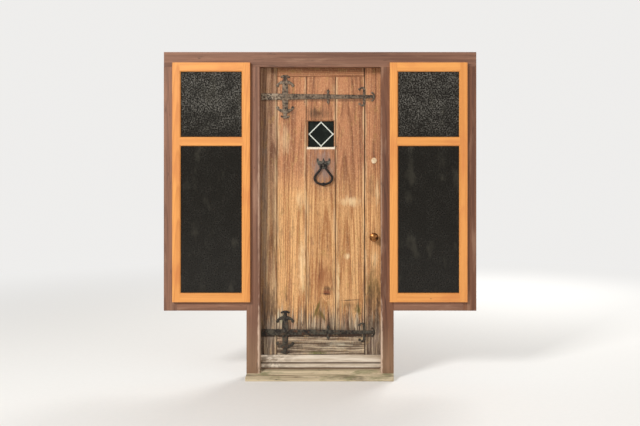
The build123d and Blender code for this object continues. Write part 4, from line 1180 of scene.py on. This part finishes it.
# %% Pins along the beads
def pin_tree():
    """Flat pin heads at an even pitch along lines."""
    tree, given = new_tree("pins_along", Pitch=0.15, Radius=0.0013, Height=0.0005)
    line = wire(tree, "GeometryNodeMeshToCurve", {"Mesh": given["Geometry"]})
    even = wire(tree, "GeometryNodeResampleCurve", {"Curve": line, "Length": given["Pitch"]},
                mode="LENGTH")
    head = wire(tree, "GeometryNodeMeshCylinder",
                {"Vertices": 12, "Radius": given["Radius"], "Depth": given["Height"]})
    flat = wire(tree, "GeometryNodeTransform", {"Geometry": head, "Rotation": (pi / 2, 0, 0)})
    placed = wire(tree, "GeometryNodeInstanceOnPoints", {"Points": even, "Instance": flat})
    return made_real(tree, given, placed)


def stick_lines(node, inset):
    """A line along the middle of each stick of a node, on its inside face and short of its ends."""
    verts, edges = [], []
    for low, high in solids_of(node):
        middle, half = (low + high) / 2, (high - low) / 2
        along = (Vector((half.x - inset, 0, 0)) if half.x > half.z
                 else Vector((0, 0, half.z - inset)))
        face = Vector((middle.x, high.y, middle.z))
        edges.append((len(verts), len(verts) + 1))
        verts += [face - along, face + along]
    return verts, edges


def along_lines(name, tree, lines, body, material, slot, **sizes):
    """Runs a tree on separate lines."""
    data = bpy.data.meshes.new(name)
    data.from_pydata(*lines, [])
    return run_tree(data, tree, body, material, sizes)


pins = pin_tree()
along_lines("bead_pins", pins, stick_lines("glazing_beads", 0.04), "frame", steel, "steel")
along_lines("surround_pins", pins, stick_lines("vision_frame", 0.02), "leaf", aged_brass, "brass",
            Radius=0.0022, Pitch=0.13, Height=0.0008)

# %% [markdown]
# The small window has a diamond of lead came. Came is a soft H of lead: what shows is a low
# rounded bar on each side of the glass, with a blob of solder where two bars meet. A curve along
# the diamond with a low oval section makes the bar, and flattened balls make the solder.


# %% Lead came
def came_tree():
    """A low bar along a path, and a blob of solder on each of its points."""
    tree, given = new_tree("lead_came", Width=0.01, Rise=0.0016, Solder=0.0066)
    path = wire(tree, "GeometryNodeMeshToCurve", {"Mesh": given["Geometry"]})
    profile = wire(tree, "GeometryNodeCurvePrimitiveCircle", {"Resolution": 12, "Radius": 0.5})
    size = wire(tree, "ShaderNodeCombineXYZ", {0: given["Rise"], 1: given["Width"], 2: 1.0})
    oval = wire(tree, "GeometryNodeTransform", {"Geometry": profile, "Scale": size})
    upright = wire(tree, "GeometryNodeSetCurveNormal", {"Curve": path, "Normal": (0, 1, 0)},
                   mode="FREE")
    bar = wire(tree, "GeometryNodeCurveToMesh",
               {"Curve": upright, "Profile Curve": oval, "Fill Caps": True})
    ball = wire(tree, "GeometryNodeMeshUVSphere",
                {"Segments": 16, "Rings": 10, "Radius": given["Solder"]})
    low = wire(tree, "GeometryNodeTransform", {"Geometry": ball, "Scale": (1, 0.12, 1)})
    blobs = wire(tree, "GeometryNodeInstanceOnPoints",
                 {"Points": given["Geometry"], "Instance": low})
    return made_real(tree, given, wire(tree, "GeometryNodeJoinGeometry", {0: [bar, blobs]}))


def diamond_lines(low, high, y, inset=0.0071):
    """A closed diamond inside a box, at a depth."""
    middle = (low + high) / 2
    reach = (high.x - low.x) / 2 - inset
    points = [Vector((middle.x + reach * cos(a * pi / 2), y, middle.z + reach * sin(a * pi / 2)))
              for a in range(4)]
    return points, [(i, (i + 1) % 4) for i in range(4)]


lead = plain_finish("dull_lead", (226, 228, 216), (182, 186, 174), 0.45, scale=120)
came = came_tree()
half_rise = 0.0008
low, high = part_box("vision_lead")
for name, y in (("came_outside", low.y + half_rise), ("came_inside", high.y - half_rise)):
    piece = along_lines(name, came, diamond_lines(low, high, y), "leaf", lead, "lead")
    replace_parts(piece, "vision_lead")

# %% [markdown]
# The solids that nothing stands for still carry the plain colours that they came with. Each gets
# the finish of its own name, or of the kind of stuff that it is made of.

# %% Finish the solids that stay
for node, piece in nodes.items():
    if piece.hide_render:
        continue
    material = finish_of.get(node) or finish_by_slot[slot_of[node]]
    for holder in piece.material_slots:
        holder.material = material
print(sum(not piece.hide_render for piece in nodes.values()), "solids keep their own shape")

# %% [markdown]
# Last, the box of the finished door is printed. The size of the solids that it was built on was
# printed at the start.

# %% Print the finished size
low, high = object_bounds()
print("visual box", [round(x, 4) for x in low], [round(x, 4) for x in high])
